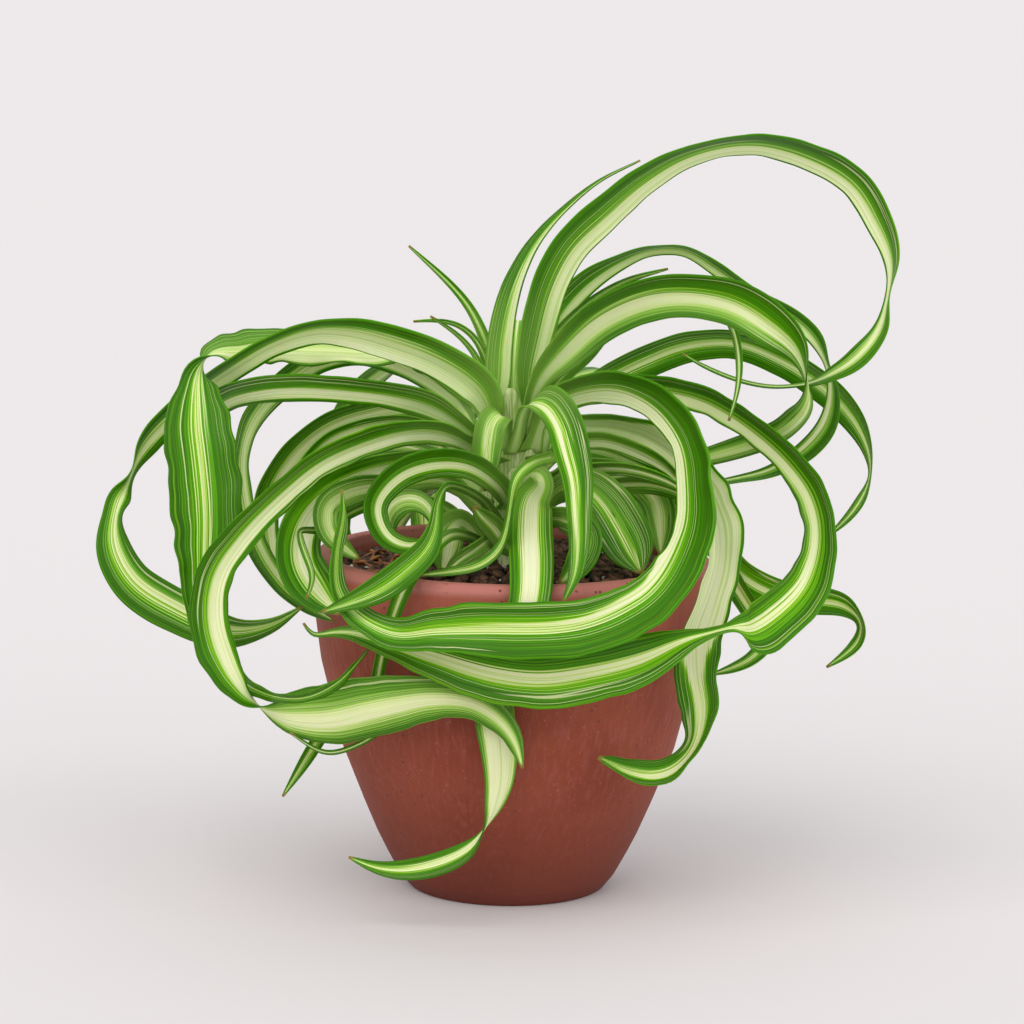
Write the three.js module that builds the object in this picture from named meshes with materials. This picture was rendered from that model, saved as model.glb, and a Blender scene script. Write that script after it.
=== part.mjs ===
import * as THREE from "three";

// Potted curly spider plant, in millimetres, +Z up, the origin at the centre of the pot's flat base.

// Driving sizes of the pot
const POT_HEIGHT = 110;
const RIM_RADIUS = 65;
const RIM_LAND = 4.3;
const RIM_CHAMFER = 2.1;
const FOOT_RADIUS = 32;
const BASE_THICKNESS = 7;
const POT_SIDES = 64;

// Driving sizes of the soil and of the crown that the leaves grow from
const FIT_GAP = 0.3;
const SOIL_DEPTH_BELOW_RIM = 6;
const SOIL_MOUND = 2.5;
const SOIL_SIDES = 40;
const CROWN_RADIUS = 8;
const CROWN_NECK_RADIUS = 6;
const CROWN_TOP = 160;
const CROWN_SIDES = 24;

// Driving sizes of a blade
const BLADE_THICKNESS = 0.7;
const FRONT = [0, -1, 0.16];

// Each blade's midrib, from root to tip. A station is [x, y, z, width, turn]: a point in millimetres,
// the blade's width there, and how many degrees its upper face is turned away from the front, or
// for a blade with its own across direction, away from lying across that direction. fold is the
// angle that each half is folded up along the midrib, at the root and at the tip.
const LEAVES = {
  big_arch: { fold: [22, 8], steps: 34, stations: [
    [5.7, -3.3, 155, 3, -30], [4.5, -7, 167, 11, -35], [6.5, -6, 180.5, 15, -38],
    [10, -5, 196.5, 16, -40], [16.5, -4, 210, 16, -42], [27.5, -4, 221, 16, -45],
    [40, -5, 232, 15, -52], [55, -6, 240.5, 13, -62], [74, -8, 244.5, 14, -67],
    [91.5, -11, 241.5, 15, -61], [107.5, -14, 233, 14, -54], [116.5, -17, 218.5, 12.5, -54],
    [119.5, -20, 208, 9.5, -66], [118, -22, 197, 6, -84], [116, -22, 186.5, 7, -45],
    [109, -21, 177.5, 8, -35], [100.5, -15, 171, 6, -50], [93, -7, 167, 3.5, -70],
    [82.5, -5, 166, 2.5, -60], [71.5, -3, 168, 2, -50], [61, 0, 172, 1.5, -40],
    [54.5, 2, 175.5, 0.8, -40],
  ] },
  upright_blade: { fold: [15, 15], steps: 16, stations: [
    [-6.0, -2.8, 155, 3, 15], [-5, -3, 166, 9, 15], [-4.5, -1, 178, 9, 15], [-2.5, 2, 190.5, 8, 20],
    [1.5, 4, 202, 7, 35], [7, 6, 211.5, 5.5, 45], [15, 8, 220.5, 4, 55], [26.5, 10, 230, 2.4, 60],
    [40, 12, 237, 0.8, 60],
  ] },
  spike_blade: { fold: [20, 15], steps: 12, stations: [
    [-3.4, 5.8, 154, 3, 10], [-6.5, 6, 168.5, 4.5, 10], [-9.5, 7, 179, 4, 15], [-14.5, 8, 189, 3.3, 20],
    [-22, 9, 197.5, 2.4, 20], [-34.5, 10, 208.5, 0.8, 20],
  ] },
  fork_blade_high: { fold: [20, 15], steps: 10, stations: [
    [-7.0, 2.5, 153, 3, 20], [-8, 2, 169, 3.5, 30], [-11.5, 1, 178.5, 2.8, 40],
    [-17.5, 0, 184, 2.3, 45], [-24.5, 0, 185.5, 1.6, 50], [-32.5, 0, 185, 0.8, 50],
  ] },
  fork_blade_low: { fold: [20, 15], steps: 10, stations: [
    [-7.7, 0.3, 149, 3, 20], [-9, 0, 166.5, 3, 30], [-13, -1, 175.5, 2.4, 40],
    [-18.5, -2, 181.5, 2, 45], [-27, -2, 187, 0.8, 50],
  ] },
  rear_arch: { fold: [20, 12], steps: 26, stations: [
    [4.9, 4.9, 154, 3, -20], [6.5, 11, 171, 8, -20], [12.5, 13, 184.5, 9.5, -25],
    [21, 14, 195.5, 10, -35], [31.5, 14, 203, 9.5, -55], [43, 13, 208, 9, -70],
    [55, 12, 208.5, 8.5, -68], [65, 10, 203, 8, -60], [78, 7, 194.5, 7.5, -60],
    [89.5, 4, 188.5, 7, -50], [97.5, 1, 181.5, 6.5, -40], [101.5, -2, 172.5, 5.5, -80],
    [103.5, -2, 163.5, 6, -50], [102, 1, 153, 7.5, -30], [95.5, 7, 143.5, 7.5, -25],
    [85, 12, 136, 5.5, -40], [75, 15, 133, 4, -50], [66, 17, 131, 2.5, -50],
    [58.5, 18, 129.5, 0.8, -50],
  ] },
  folded_arch: { fold: [42, 8], steps: 30, stations: [
    [3.0, -6.4, 151, 3, -30], [7.5, -11, 167.5, 10, -35], [15.5, -14, 178, 17, -35],
    [27, -16, 189, 20, -38], [41.5, -18, 196, 20, -38], [55.5, -19, 197.5, 18, -33],
    [70, -20, 195, 18, -28], [81, -21, 188.5, 17, -28], [89.5, -20, 180.5, 13, -45],
    [93, -18, 170, 6, -88], [93, -12, 160.5, 9, -140], [87, -4, 152, 8.5, -160],
    [75.5, 7, 145, 8, -165], [61.5, 14, 139.5, 6, -170], [44, 18, 133, 3.5, -170],
    [26.5, 21, 125, 0.8, -170],
  ] },
  rear_low_arch: { fold: [30, 8], steps: 26, stations: [
    [6.6, 3.8, 150, 3.5, -30], [13.5, 17, 157.5, 9, -35], [27, 21, 163, 12, -35],
    [40, 22, 169.5, 14, -35], [56, 21, 176, 14, -40], [72.5, 19, 177.5, 13, -45],
    [88.5, 15, 172, 13, -45], [101.5, 11, 164, 13, -45], [110.5, 6, 155, 10, -42],
    [115.5, 2, 145, 6, -60], [116, -2, 137, 3, -84], [113.5, -3, 130, 4.5, -50],
    [108.5, -4, 123, 3.5, -45], [103, -5, 118, 1, -45],
  ] },
  hanging_tip: { fold: [15, 10], steps: 16, stations: [
    [6.6, -1.2, 155, 3, -30], [9, 3, 169, 5, -35], [21.5, 4, 181.5, 5, -40], [35.5, 4, 191, 5, -45],
    [51.5, 3, 196, 4.5, -45], [62.5, -3, 194, 4, -40], [69.5, -9, 186.5, 2.8, -30],
    [72, -13, 175.5, 2.5, -20], [71.5, -14, 165.5, 1.6, -10], [69, -14, 156, 0.8, -10],
  ] },
  short_cut_blade: { fold: [15, 10], steps: 10, stations: [
    [6.4, 1.7, 155, 3, -40], [10.5, 9, 175.5, 5, -45], [23, 9, 190, 4.5, -50], [36.5, 8, 198.5, 3, -50],
    [49.5, 7, 202.5, 0.8, -50],
  ] },
  short_green_blade: { fold: [20, 10], steps: 9, stations: [
    [6.8, -3.2, 150, 3, -30], [13.5, -4, 165.5, 5, -30], [24, -5, 175.5, 4.5, -35],
    [31.5, -5, 183, 0.8, -35],
  ] },
  great_loop: { fold: [22, 8], steps: 38, stations: [
    [5.4, -6.0, 144, 3.5, -35], [11, -11, 159.5, 9, -40], [21.5, -14, 166, 15, -50],
    [34.5, -18, 167.5, 17, -52], [47, -23, 162.5, 17, -50], [55.5, -30, 152, 17, -50],
    [58, -38, 139, 17, -48], [57.5, -48, 126, 17, -42], [51, -60, 114.5, 17, -35],
    [40, -72, 106, 17, -20], [26, -80, 101.5, 17.5, -8], [9, -84, 100.5, 17.5, -5],
    [-7.5, -84, 100.5, 17, -5], [-23, -79, 99, 14, -18], [-35, -73, 96.5, 11, -25],
    [-46, -66, 100, 9, -35], [-53.5, -60, 107.5, 7, -45], [-54, -56, 119.5, 5, -45],
    [-52, -54, 130, 3, -40], [-52.5, -53, 138, 0.8, -40],
  ] },
  outer_loop: { fold: [20, 8], steps: 40, stations: [
    [8.0, -2.1, 143, 3, -35], [15, 3, 159, 10, -40], [31.5, 3, 164, 12, -45], [47.5, 1, 164.5, 13, -50],
    [62, -1, 161.5, 14, -52], [76.5, -4, 153.5, 14, -52], [88.5, -9, 143.5, 14, -52],
    [96.5, -17, 132.5, 15, -52], [98.5, -27, 120, 16, -52], [94, -38, 107.5, 17, -35],
    [83.5, -50, 99, 17, -15], [75, -58, 95.5, 16, -10], [70, -62, 98, 7.5, -68],
    [63.5, -65, 97, 5.5, -66], [54, -69, 95, 10, -46], [40, -73, 89, 17, -20],
    [24.5, -76, 85.5, 18, -12], [9.5, -77, 83.5, 18, -8], [-6, -76, 85, 17, -6],
    [-21.5, -71, 88.5, 14, -6], [-35.5, -65, 91.5, 10, -15], [-48, -57, 93.5, 6, -30],
    [-56.5, -54, 93, 3, -40], [-61.5, -53, 91.5, 2, -60], [-64.5, -52, 95.5, 0.8, -60],
  ] },
  wide_drop: { fold: [18, 6], steps: 34, stations: [
    [8.4, 1.5, 142, 3.5, -30], [14, 8, 149.5, 9, -35], [27, 13, 151, 10, -40],
    [41.5, 10, 149.5, 12, -45], [52.5, 2, 145, 13, -40], [62, -12, 136.5, 13, -30],
    [67.5, -24, 125.5, 12, -20], [68, -34, 114.5, 11, -15], [64.5, -42, 103, 11, -12],
    [60, -49, 91.5, 13, -10], [58.5, -52, 79, 14, -10], [60, -53, 70, 13, -15],
    [58.5, -54, 60, 8.5, -50], [54, -55, 53.5, 8.5, -55], [46.5, -56, 50, 9, -28],
    [37, -56, 51, 6.5, -20], [28, -56, 55, 0.8, -20],
  ] },
  right_tail: { fold: [15, 8], steps: 22, stations: [
    [6.9, 4.8, 138, 3, -20], [19.5, 18, 142, 7, -30], [39, 30, 136, 8, -35], [59, 26, 124, 9, -30],
    [73.5, 8, 104, 10, -20], [86.5, 2, 97, 11, -15], [99, -2, 96, 10, -15], [108.5, -5, 95, 8, -25],
    [114, -8, 90, 5, -75], [113, -10, 84, 5, -40], [108, -12, 79.5, 3, -30], [102.5, -13, 76, 0.8, -30],
  ] },
  small_right_tail: { fold: [12, 8], steps: 14, stations: [
    [5.9, 7.0, 122, 3, -20], [21, 20, 128, 5, -30], [42.5, 28, 123, 6, -30], [59.5, 20, 119.5, 6, -30],
    [74.5, 4, 97.5, 7, -15], [83, -6, 83.5, 6, -20], [78.5, -13, 78.5, 5, -30], [72, -17, 76, 3.5, -30],
    [65, -20, 74.5, 0.8, -30],
  ] },
  right_inner_high: { fold: [22, 10], steps: 14, stations: [
    [8.6, -1.5, 136, 3, -30], [16, -4, 145.5, 7, -40], [28, -7, 148.5, 8, -45], [39, -8, 145.5, 8, -45],
    [49.5, -9, 140, 6, -45], [55.5, -7, 133, 0.8, -40],
  ] },
  right_inner_mid: { fold: [22, 10], steps: 12, stations: [
    [9.4, 0.3, 124, 3, -20], [15.5, 0, 129.5, 7, -40], [28.5, 2, 131.5, 8, -45],
    [43.5, 4, 132.5, 8, -45], [55, 6, 129, 5, -40], [61, 8, 124.5, 0.8, -40],
  ] },
  right_inner_low: { fold: [22, 10], steps: 12, stations: [
    [8.4, -3.4, 131, 3, -20], [15.5, -9, 137, 6, -40], [28, -13, 140, 7, -50], [38.5, -15, 140, 6, -50],
    [50, -16, 136.5, 4, -40], [56.5, -17, 132.5, 0.8, -40],
  ] },
  broad_droop: { fold: [14, 8], steps: 14, stations: [
    [8.1, -4.6, 120, 3, 0], [14, -11, 132, 8, -10], [22, -17, 135, 13, 0], [29, -22, 130.5, 17, 10],
    [35, -26, 122, 18, 10], [39, -28, 114.5, 15, 10], [41.5, -29, 108.5, 0.8, 10],
  ] },
  olive_droop: { fold: [14, 8], steps: 12, stations: [
    [8.4, 3.4, 130, 3, -20], [20.5, 12, 135.5, 9, -30], [37, 15, 133, 12, -30],
    [47, 13, 126.5, 13, -20], [49, 11, 117, 10, -10], [49, 9, 108, 0.8, -10],
  ] },
  front_arch: { across: [-0.95, -0.3, 0], fold: [18, 8], steps: 22, stations: [
    [1.1, -8.0, 144, 3, -20], [5, -17, 161.5, 9, -35], [11, -23, 163, 12, -42],
    [16, -30, 157.5, 12, -25], [18.5, -38, 149.5, 12, -15], [20.5, -46, 141, 10, -12],
    [21, -55, 131.5, 8, -10], [21, -63, 122, 6.5, -5], [19.5, -69, 114, 4, 0], [16, -71, 106.5, 0.8, 0],
  ] },
  front_arch_left: { across: [-0.95, 0.3, 0], fold: [18, 8], steps: 16, stations: [
    [-3.2, -6.9, 145, 3, 20], [-3, -15, 157.5, 8, 30], [-6.5, -20, 156, 10, 30], [-8, -22, 148, 10, 20],
    [-8.5, -23, 140.5, 8, 10], [-8.5, -23, 133.5, 0.8, 5],
  ] },
  upper_left_arch: { fold: [20, 8], steps: 32, stations: [
    [-5.6, -5.0, 150, 3.5, 30], [-9, -10, 163.5, 14, 30], [-16.5, -11, 170.5, 16, 38],
    [-26.5, -12, 176, 16, 42], [-38, -13, 180, 16, 45], [-50.5, -14, 183, 15, 50],
    [-63.5, -13, 183, 13, 55], [-76.5, -11, 178.5, 11, 52], [-88.5, -8, 171, 11, 50],
    [-101.5, 3, 161, 11, 50], [-113, 7, 150.5, 12, 50], [-120.5, 4, 141.5, 11, 58],
    [-124, -1, 132.5, 6, 84], [-128, -6, 124, 9, -40], [-128.5, -10, 112.5, 13, -25],
    [-121.5, -15, 101, 15, -20], [-107.5, -21, 93.5, 15, -15], [-91, -27, 88, 12, -20],
    [-76, -35, 91.5, 6, -40], [-65.5, -40, 98.5, 0.8, -40],
  ] },
  tall_drop: { fold: [18, 6], steps: 36, stations: [
    [-6.7, 3.6, 150, 3.5, 30], [-14, 12, 161, 9, 30], [-27.5, 13, 170.5, 12, 40],
    [-43.5, 14, 174, 14, 140], [-61.5, 13, 175.5, 14, 150], [-79.5, 9, 176, 14, 155],
    [-88.5, 2, 175, 14, 150], [-95, -5, 175, 12, 145], [-99, -11, 172.5, 7, 95],
    [-100, -18, 167.5, 11, 25], [-100, -23, 161.5, 17, 5], [-99.5, -28, 154, 22, 0],
    [-97.5, -32, 140.5, 23, -5], [-96, -35, 126.5, 22, -5], [-96, -37, 112.5, 19, -5],
    [-96, -39, 100, 15, -10], [-93.5, -41, 87.5, 11, -15], [-85.5, -46, 77, 7, -45],
    [-74.5, -57, 73.5, 5, -60], [-63.5, -61, 73.5, 4.5, -50], [-53.5, -62, 78.5, 3.5, -50],
    [-47.5, -57, 84, 2.5, -50], [-44, -53, 88, 0.8, -50],
  ] },
  left_strap: { fold: [18, 8], steps: 22, stations: [
    [-7.3, -3.4, 145, 3, 40], [-16.5, -11, 153.5, 8, 45], [-26.5, -14, 160, 14, 50],
    [-41, -18, 164, 13, 50], [-55, -20, 165.5, 13, 50], [-68, -20, 166, 13, 50],
    [-80.5, -16, 164.5, 13, 50], [-92.5, -7, 160, 12, 50], [-102.5, 4, 150, 9, 50],
    [-106.5, 9, 139.5, 6, 45], [-105.5, 10, 127.5, 0.8, 40],
  ] },
  rear_left_strap: { fold: [18, 8], steps: 32, stations: [
    [-8.3, 0.7, 143, 3, 30], [-19, 19, 157.5, 8, 40], [-34.5, 29, 166.5, 11, 50],
    [-49.5, 33, 171, 12, 50], [-64, 31, 169, 12, 50], [-77, 25, 160.5, 12, 50],
    [-85.5, 16, 151, 10, 50], [-88.5, 6, 140, 8, 55], [-87, -4, 126.5, 8, 40], [-82, -14, 113.5, 8, 35],
    [-73.5, -26, 103.5, 7, 30], [-64, -33, 97, 5, 30], [-55.5, -43, 94.5, 0.8, 30],
  ] },
  nested_loop: { fold: [18, 8], steps: 26, stations: [
    [-8.4, -1.5, 139, 3, 40], [-18.5, -2, 150, 7, 45], [-31.5, 1, 157.5, 10, 50],
    [-46.5, 6, 155.5, 11, 50], [-61.5, 10, 149.5, 11, 48], [-73, 12, 139, 11, 45],
    [-80, 11, 126, 10, 35], [-80, 6, 112, 9, 25], [-75, -4, 102, 7, 20], [-68.5, -14, 96.5, 0.8, 20],
  ] },
  nested_loop_inner: { fold: [18, 8], steps: 18, stations: [
    [-7.9, -3.7, 136, 3, 40], [-18.5, -11, 146.5, 7, 45], [-31.5, -14, 154, 7, 50],
    [-45.5, -16, 153.5, 7, 50], [-58.5, -16, 148.5, 7, 48], [-67, -15, 139, 6, 45],
    [-70.5, -11, 126.5, 5, 35], [-69, -9, 114.5, 0.8, 30],
  ] },
  big_front_loop: { fold: [18, 8], steps: 40, stations: [
    [-4.3, -6.9, 140, 3, 40], [-20, -22, 151.5, 10, 45], [-32.5, -29, 153.5, 12, 48],
    [-46.5, -36, 150.5, 13, 50], [-60, -43, 145, 13, 48], [-72, -48, 135.5, 13, 45],
    [-83.5, -52, 124, 13, 40], [-92, -54, 111.5, 13, 30], [-94, -55, 98.5, 13, 25],
    [-91, -55, 85.5, 13, 20], [-84.5, -55, 74.5, 9, 40], [-78.5, -52, 69, 6, 85],
    [-70, -50, 66.5, 13, 160], [-56, -54, 67, 20, 170], [-40, -61, 71.5, 19, 175],
    [-24.5, -67, 75.5, 14, 172], [-11.5, -70, 75, 11, 168], [-2.5, -71, 69.5, 9, 165],
    [2.5, -71, 62, 5, 165], [4.5, -71, 54.5, 0.8, 165],
  ] },
  curl_leaf: { fold: [20, 8], steps: 36, stations: [
    [-1.8, -8.6, 124, 3.5, 0], [-1, -19, 129.5, 7, 20], [-4, -29, 136.5, 9.5, 35],
    [-13.5, -36, 144, 11.5, 40], [-26, -40, 145, 12.5, 42], [-36.5, -43, 141, 12, 42],
    [-43, -46, 132, 10.5, 45], [-39.5, -49, 122.5, 9, 45], [-31.5, -51, 119.5, 8, 50],
    [-26, -50, 122.5, 8.5, 78], [-25, -45, 127, 11.5, 112], [-27.5, -41, 131.5, 13, 126],
    [-32.5, -39, 133, 13.5, 132], [-37.5, -38, 130.5, 12.5, 132], [-39.5, -37, 125.5, 10, 128],
    [-38, -36, 120, 5, 124], [-35, -36, 117.5, 0.8, 120],
  ] },
  curl_tail: { fold: [14, 8], steps: 22, stations: [
    [-4.5, -7.8, 120, 3, 30], [-8, -19, 129, 4, 40], [-15, -31, 135.5, 4, 50], [-20.5, -43, 138, 4, 60],
    [-23, -52, 134, 4.5, 50], [-23.5, -57, 127.5, 6, 40], [-25.5, -61, 121.5, 8, 20],
    [-31, -64, 116, 9, 5], [-40, -67, 109.5, 9, 0], [-50, -68, 105, 5, 0], [-58, -67, 102, 0.8, 0],
  ] },
  fold_drop: { fold: [10, 6], steps: 30, stations: [
    [0.3, -8.3, 132, 3.5, 10], [7.5, -14, 138, 8, 15], [9.5, -20, 135.5, 9, 30],
    [6.5, -33, 131.5, 13, 5], [6, -43, 124.5, 14, 0], [6.5, -58, 116, 14, 0], [6, -68, 107, 13, 0],
    [3, -68, 94.5, 12, 0], [-0.5, -67, 81.5, 12, 0], [-4.5, -66, 72.5, 12.5, 5], [-3, -65, 60.5, 12, 6],
    [-2.5, -63, 49, 9.5, 12], [-4.5, -62, 39, 6, 30], [-7, -62, 33, 3, 85], [-11.5, -62, 26.5, 6, 150],
    [-21, -62, 21.5, 7.5, 165], [-32, -61, 19, 6.5, 170], [-41, -60, 19.5, 4, 170],
    [-49.5, -59, 22.5, 0.8, 170],
  ] },
  thin_curl: { fold: [15, 10], steps: 18, stations: [
    [4.7, -6.7, 141, 3, 0], [13, -21, 144.5, 4, -10], [6, -33, 144, 4, -20], [1.5, -39, 140.5, 4, -30],
    [0, -44, 134, 4, -60], [-1, -49, 127.5, 4, -60], [-3.5, -51, 119.5, 4, -40],
    [-10, -52, 114.5, 3.6, -20], [-19, -52, 112.5, 3, -10], [-28.5, -51, 111, 0.8, -10],
  ] },
  low_front_left: { fold: [15, 8], steps: 10, stations: [
    [-1.2, -8.7, 115, 3, 10], [-5.5, -22, 118.5, 4, 20], [-11.5, -31, 115.5, 6, 30],
    [-17.5, -37, 112.5, 5, 10], [-21, -40, 109, 0.8, 0],
  ] },
  left_hanger: { fold: [12, 8], steps: 18, stations: [
    [-9.0, -1.3, 131, 3, 30], [-22, 0, 139.5, 8, 35], [-41, -4, 138, 11, 35], [-57, -12, 132, 13, 30],
    [-66, -25, 123, 14, 20], [-67, -36, 113, 15, 15], [-60.5, -47, 104.5, 14, 10],
    [-53, -52, 98.5, 0.8, 0],
  ] },
  cup_leaf: { fold: [15, 8], steps: 16, stations: [
    [-8.2, -4.4, 125, 3, 30], [-23, -12, 135.5, 8, 40], [-39, -20, 134.5, 10, 40],
    [-50.5, -28, 133.5, 12, 35], [-58, -35, 129.5, 11, 30], [-57.5, -37, 122, 8.5, 20],
    [-52.5, -38, 117, 5.5, 10], [-47.5, -38, 113.5, 0.8, 10],
  ] },
  left_back_tail: { fold: [12, 8], steps: 22, stations: [
    [-6.9, 4.8, 138, 3, 20], [-19, 22, 136.5, 5, 20], [-39.5, 46, 138, 6, 20],
    [-54.5, 62, 127.5, 7, 20], [-59, 66, 102.5, 7, 20], [-56.5, 56, 76.5, 7, 15],
    [-55.5, 30, 57.5, 7, 10], [-62, 12, 46, 5, 0], [-67.5, 4, 37.5, 4, 0], [-74, 0, 27.5, 0.8, 0],
  ] },
  low_left_curl: { fold: [12, 8], steps: 16, stations: [
    [-5.6, -7.2, 113, 3, 20], [-18.5, -32, 121, 4, 15], [-27, -50, 115.5, 4, 10],
    [-33, -62, 108.5, 5, 10], [-39, -55, 89.5, 4, 10], [-41.5, -50, 74, 4, 10],
    [-40, -47, 61.5, 3.6, 60], [-48, -49, 56, 3, 60], [-57.5, -51, 54, 2.4, 50],
    [-68.5, -52, 60.5, 0.8, 50],
  ] },
  dry_tip_blade: { fold: [12, 8], steps: 12, stations: [
    [-9.4, 0.0, 114, 3, 30], [-23, -2, 125.5, 5, 30], [-45.5, -10, 126.5, 4, 30],
    [-60, -26, 121, 3, 30], [-66.5, -40, 122.5, 2.4, 50], [-64.5, -47, 117, 2.4, 20],
    [-61.5, -52, 110, 2, 10], [-63.5, -54, 103.5, 0.8, 10],
  ] },
  back_arch_mid: { across: [1, 0, 0], fold: [18, 8], steps: 22, stations: [
    [0.0, 6.7, 152, 3, 0], [0.5, 24, 170, 11, 0], [1.5, 45, 181, 14, 0], [2.5, 72, 175, 15, 0],
    [4.5, 92, 155.5, 14, 0], [6, 100, 129.5, 11, 0], [6, 98, 105, 6, 0], [3, 94, 91.5, 0.8, 0],
  ] },
  back_arch_left: { across: [0.8, 0.6, 0], fold: [18, 8], steps: 22, stations: [
    [-4.4, 6.3, 146, 3, 0], [-14.5, 30, 161, 10, 0], [-28, 50, 167, 13, 0], [-45.5, 68, 159.5, 14, 0],
    [-58, 80, 142, 13, 0], [-61.5, 86, 120, 10, 0], [-58, 86, 99, 6, 0], [-51, 82, 89, 0.8, 0],
  ] },
  back_arch_right: { across: [0.8, -0.6, 0], fold: [18, 8], steps: 22, stations: [
    [3.2, 6.9, 146, 3, 0], [14, 28, 158.5, 10, 0], [29, 48, 164, 13, 0], [45, 66, 156.5, 14, 0],
    [57.5, 78, 140.5, 13, 0], [62.5, 84, 118.5, 10, 0], [61.5, 84, 99.5, 6, 0],
    [55.5, 80, 89.5, 0.8, 0],
  ] },
  back_loop: { across: [1, 0.2, 0], fold: [18, 8], steps: 26, stations: [
    [-1.4, 7.8, 138, 3, 0], [-4.5, 28, 150.5, 9, 0], [-11, 50, 152, 12, 0], [-21.5, 72, 140, 13, 0],
    [-28.5, 84, 121, 13, 0], [-28.5, 86, 99.5, 12, 0], [-23, 84, 78.5, 11, 0], [-14, 80, 61.5, 9, 0],
    [-3, 78, 51.5, 5, 0], [4, 77, 48.5, 0.8, 0],
  ] },
  back_low_left: { across: [0.8, 0.6, 0], fold: [15, 8], steps: 14, stations: [
    [-7.1, 5.9, 122, 3, 0], [-14, 30, 129, 9, 0], [-27.5, 46, 123, 10, 0], [-38, 60, 110.5, 9, 0],
    [-42, 72, 96.5, 0.8, 0],
  ] },
  back_low_right: { across: [0.8, -0.6, 0], fold: [15, 8], steps: 14, stations: [
    [2.3, 8.5, 122, 3, 0], [16, 28, 130.5, 9, 0], [29.5, 42, 124.5, 10, 0], [41, 56, 114, 9, 0],
    [46, 66, 102, 0.8, 0],
  ] },
  inner_cross: { fold: [16, 6], steps: 14, stations: [
    [2.4, -8.5, 112, 3, 10], [-1.5, -27, 117, 7.5, 20], [-5, -29, 122.5, 8.5, 25],
    [-9.5, -30, 126.5, 7, 25], [-12, -31, 130, 0.8, 25],
  ] },
  stub_left: { fold: [16, 6], steps: 10, stations: [
    [-7.8, -5.1, 111, 3, 10], [-14, -7, 121, 6, 20], [-18, -11, 122, 9, 15], [-20.5, -15, 118.5, 11, 5],
    [-21.5, -20, 113, 11, 0], [-22, -24, 107, 0.8, 0],
  ] },
  right_low_blade: { fold: [16, 6], steps: 16, stations: [
    [5.1, -7.5, 112, 3, -10], [11.5, -20, 124, 7, -30], [18.5, -31, 125.5, 9, -20],
    [24, -37, 122, 10, 0], [22, -41, 115, 10, 15], [18.5, -43, 110.5, 7, 20], [15, -45, 108, 0.8, 20],
  ] },
};

const colours = {
  pot: 0x9c5040,
  soil: 0x33261d,
  crown: 0xb9cf86,
  leaf: 0x4f9a2a,
};

function finish(colour, roughness) {
  return new THREE.MeshStandardMaterial({ color: colour, roughness, metalness: 0 });
}

// The pot: thrown as one wall with a flat rim, chamfered outside, a swelling side and a rounded foot
const potOutside = [
  [FOOT_RADIUS, 0],
  [35.6, 4.4],
  [37.6, 8],
  [40, 12.5],
  [43, 18.6],
  [47.4, 29],
  [54.5, 47],
  [61.5, 75],
  [63.4, 89],
  [RIM_RADIUS, POT_HEIGHT - RIM_CHAMFER],
];
const RIM_INNER_RADIUS = RIM_RADIUS - RIM_CHAMFER - RIM_LAND;
const potInside = [
  [RIM_INNER_RADIUS, POT_HEIGHT],
  [57.4, 89],
  [55.4, 75],
  [48.6, 47],
  [41.4, 29],
  [35, 14],
  [31, BASE_THICKNESS],
];

function turned(profile, sides) {
  const section = profile.map(([r, z]) => new THREE.Vector2(r, z));
  return new THREE.LatheGeometry(section, sides).rotateX(Math.PI / 2);
}

function potGeometry() {
  const rimTop = [RIM_RADIUS - RIM_CHAMFER, POT_HEIGHT];
  return turned([[0, 0], ...potOutside, rimTop, ...potInside, [0, BASE_THICKNESS]], POT_SIDES);
}

// The soil fills the pot's inside, clear of its wall, with a low mound round the crown and a hole for it
function soilGeometry() {
  const level = POT_HEIGHT - SOIL_DEPTH_BELOW_RIM;
  const wall = potInside.slice(1).reverse().map(([r, z]) => [
    r - FIT_GAP,
    z + (z === BASE_THICKNESS ? FIT_GAP : 0),
  ]);
  const hole = CROWN_RADIUS + FIT_GAP;
  const top = [
    [RIM_INNER_RADIUS - 1, level],
    [42, level + 0.6 * SOIL_MOUND],
    [20, level + SOIL_MOUND],
    [hole, level + SOIL_MOUND],
    [hole, level - SOIL_MOUND],
  ];
  return turned([[0, BASE_THICKNESS + FIT_GAP], ...wall, ...top, [0, level - SOIL_MOUND]], SOIL_SIDES);
}

// The crown: the sheathed leaf bases, one tapered stock that stands in the soil
function crownGeometry() {
  const foot = POT_HEIGHT - SOIL_DEPTH_BELOW_RIM - SOIL_MOUND + FIT_GAP;
  const profile = [
    [0, foot],
    [CROWN_RADIUS, foot],
    [CROWN_RADIUS, 126],
    [7, 142],
    [CROWN_NECK_RADIUS, 152],
    [4, CROWN_TOP - 3],
    [0, CROWN_TOP],
  ];
  return turned(profile, CROWN_SIDES);
}

// A smooth value between the stations, with each station's slope taken from its neighbours
function along(stations, distances, s) {
  let k = 0;
  while (k < stations.length - 2 && s > distances[k + 1]) k += 1;
  const slope = (i) => {
    const before = Math.max(i - 1, 0);
    const after = Math.min(i + 1, stations.length - 1);
    const run = distances[after] - distances[before];
    return stations[i].map((unused, c) => (stations[after][c] - stations[before][c]) / run);
  };
  const run = distances[k + 1] - distances[k];
  const t = (s - distances[k]) / run;
  const from = slope(k);
  const to = slope(k + 1);
  return stations[k].map((value, c) => {
    const next = stations[k + 1][c];
    return value * (2 * t ** 3 - 3 * t ** 2 + 1) + from[c] * run * (t ** 3 - 2 * t ** 2 + t)
      + next * (3 * t ** 2 - 2 * t ** 3) + to[c] * run * (t ** 3 - t ** 2);
  });
}

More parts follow.
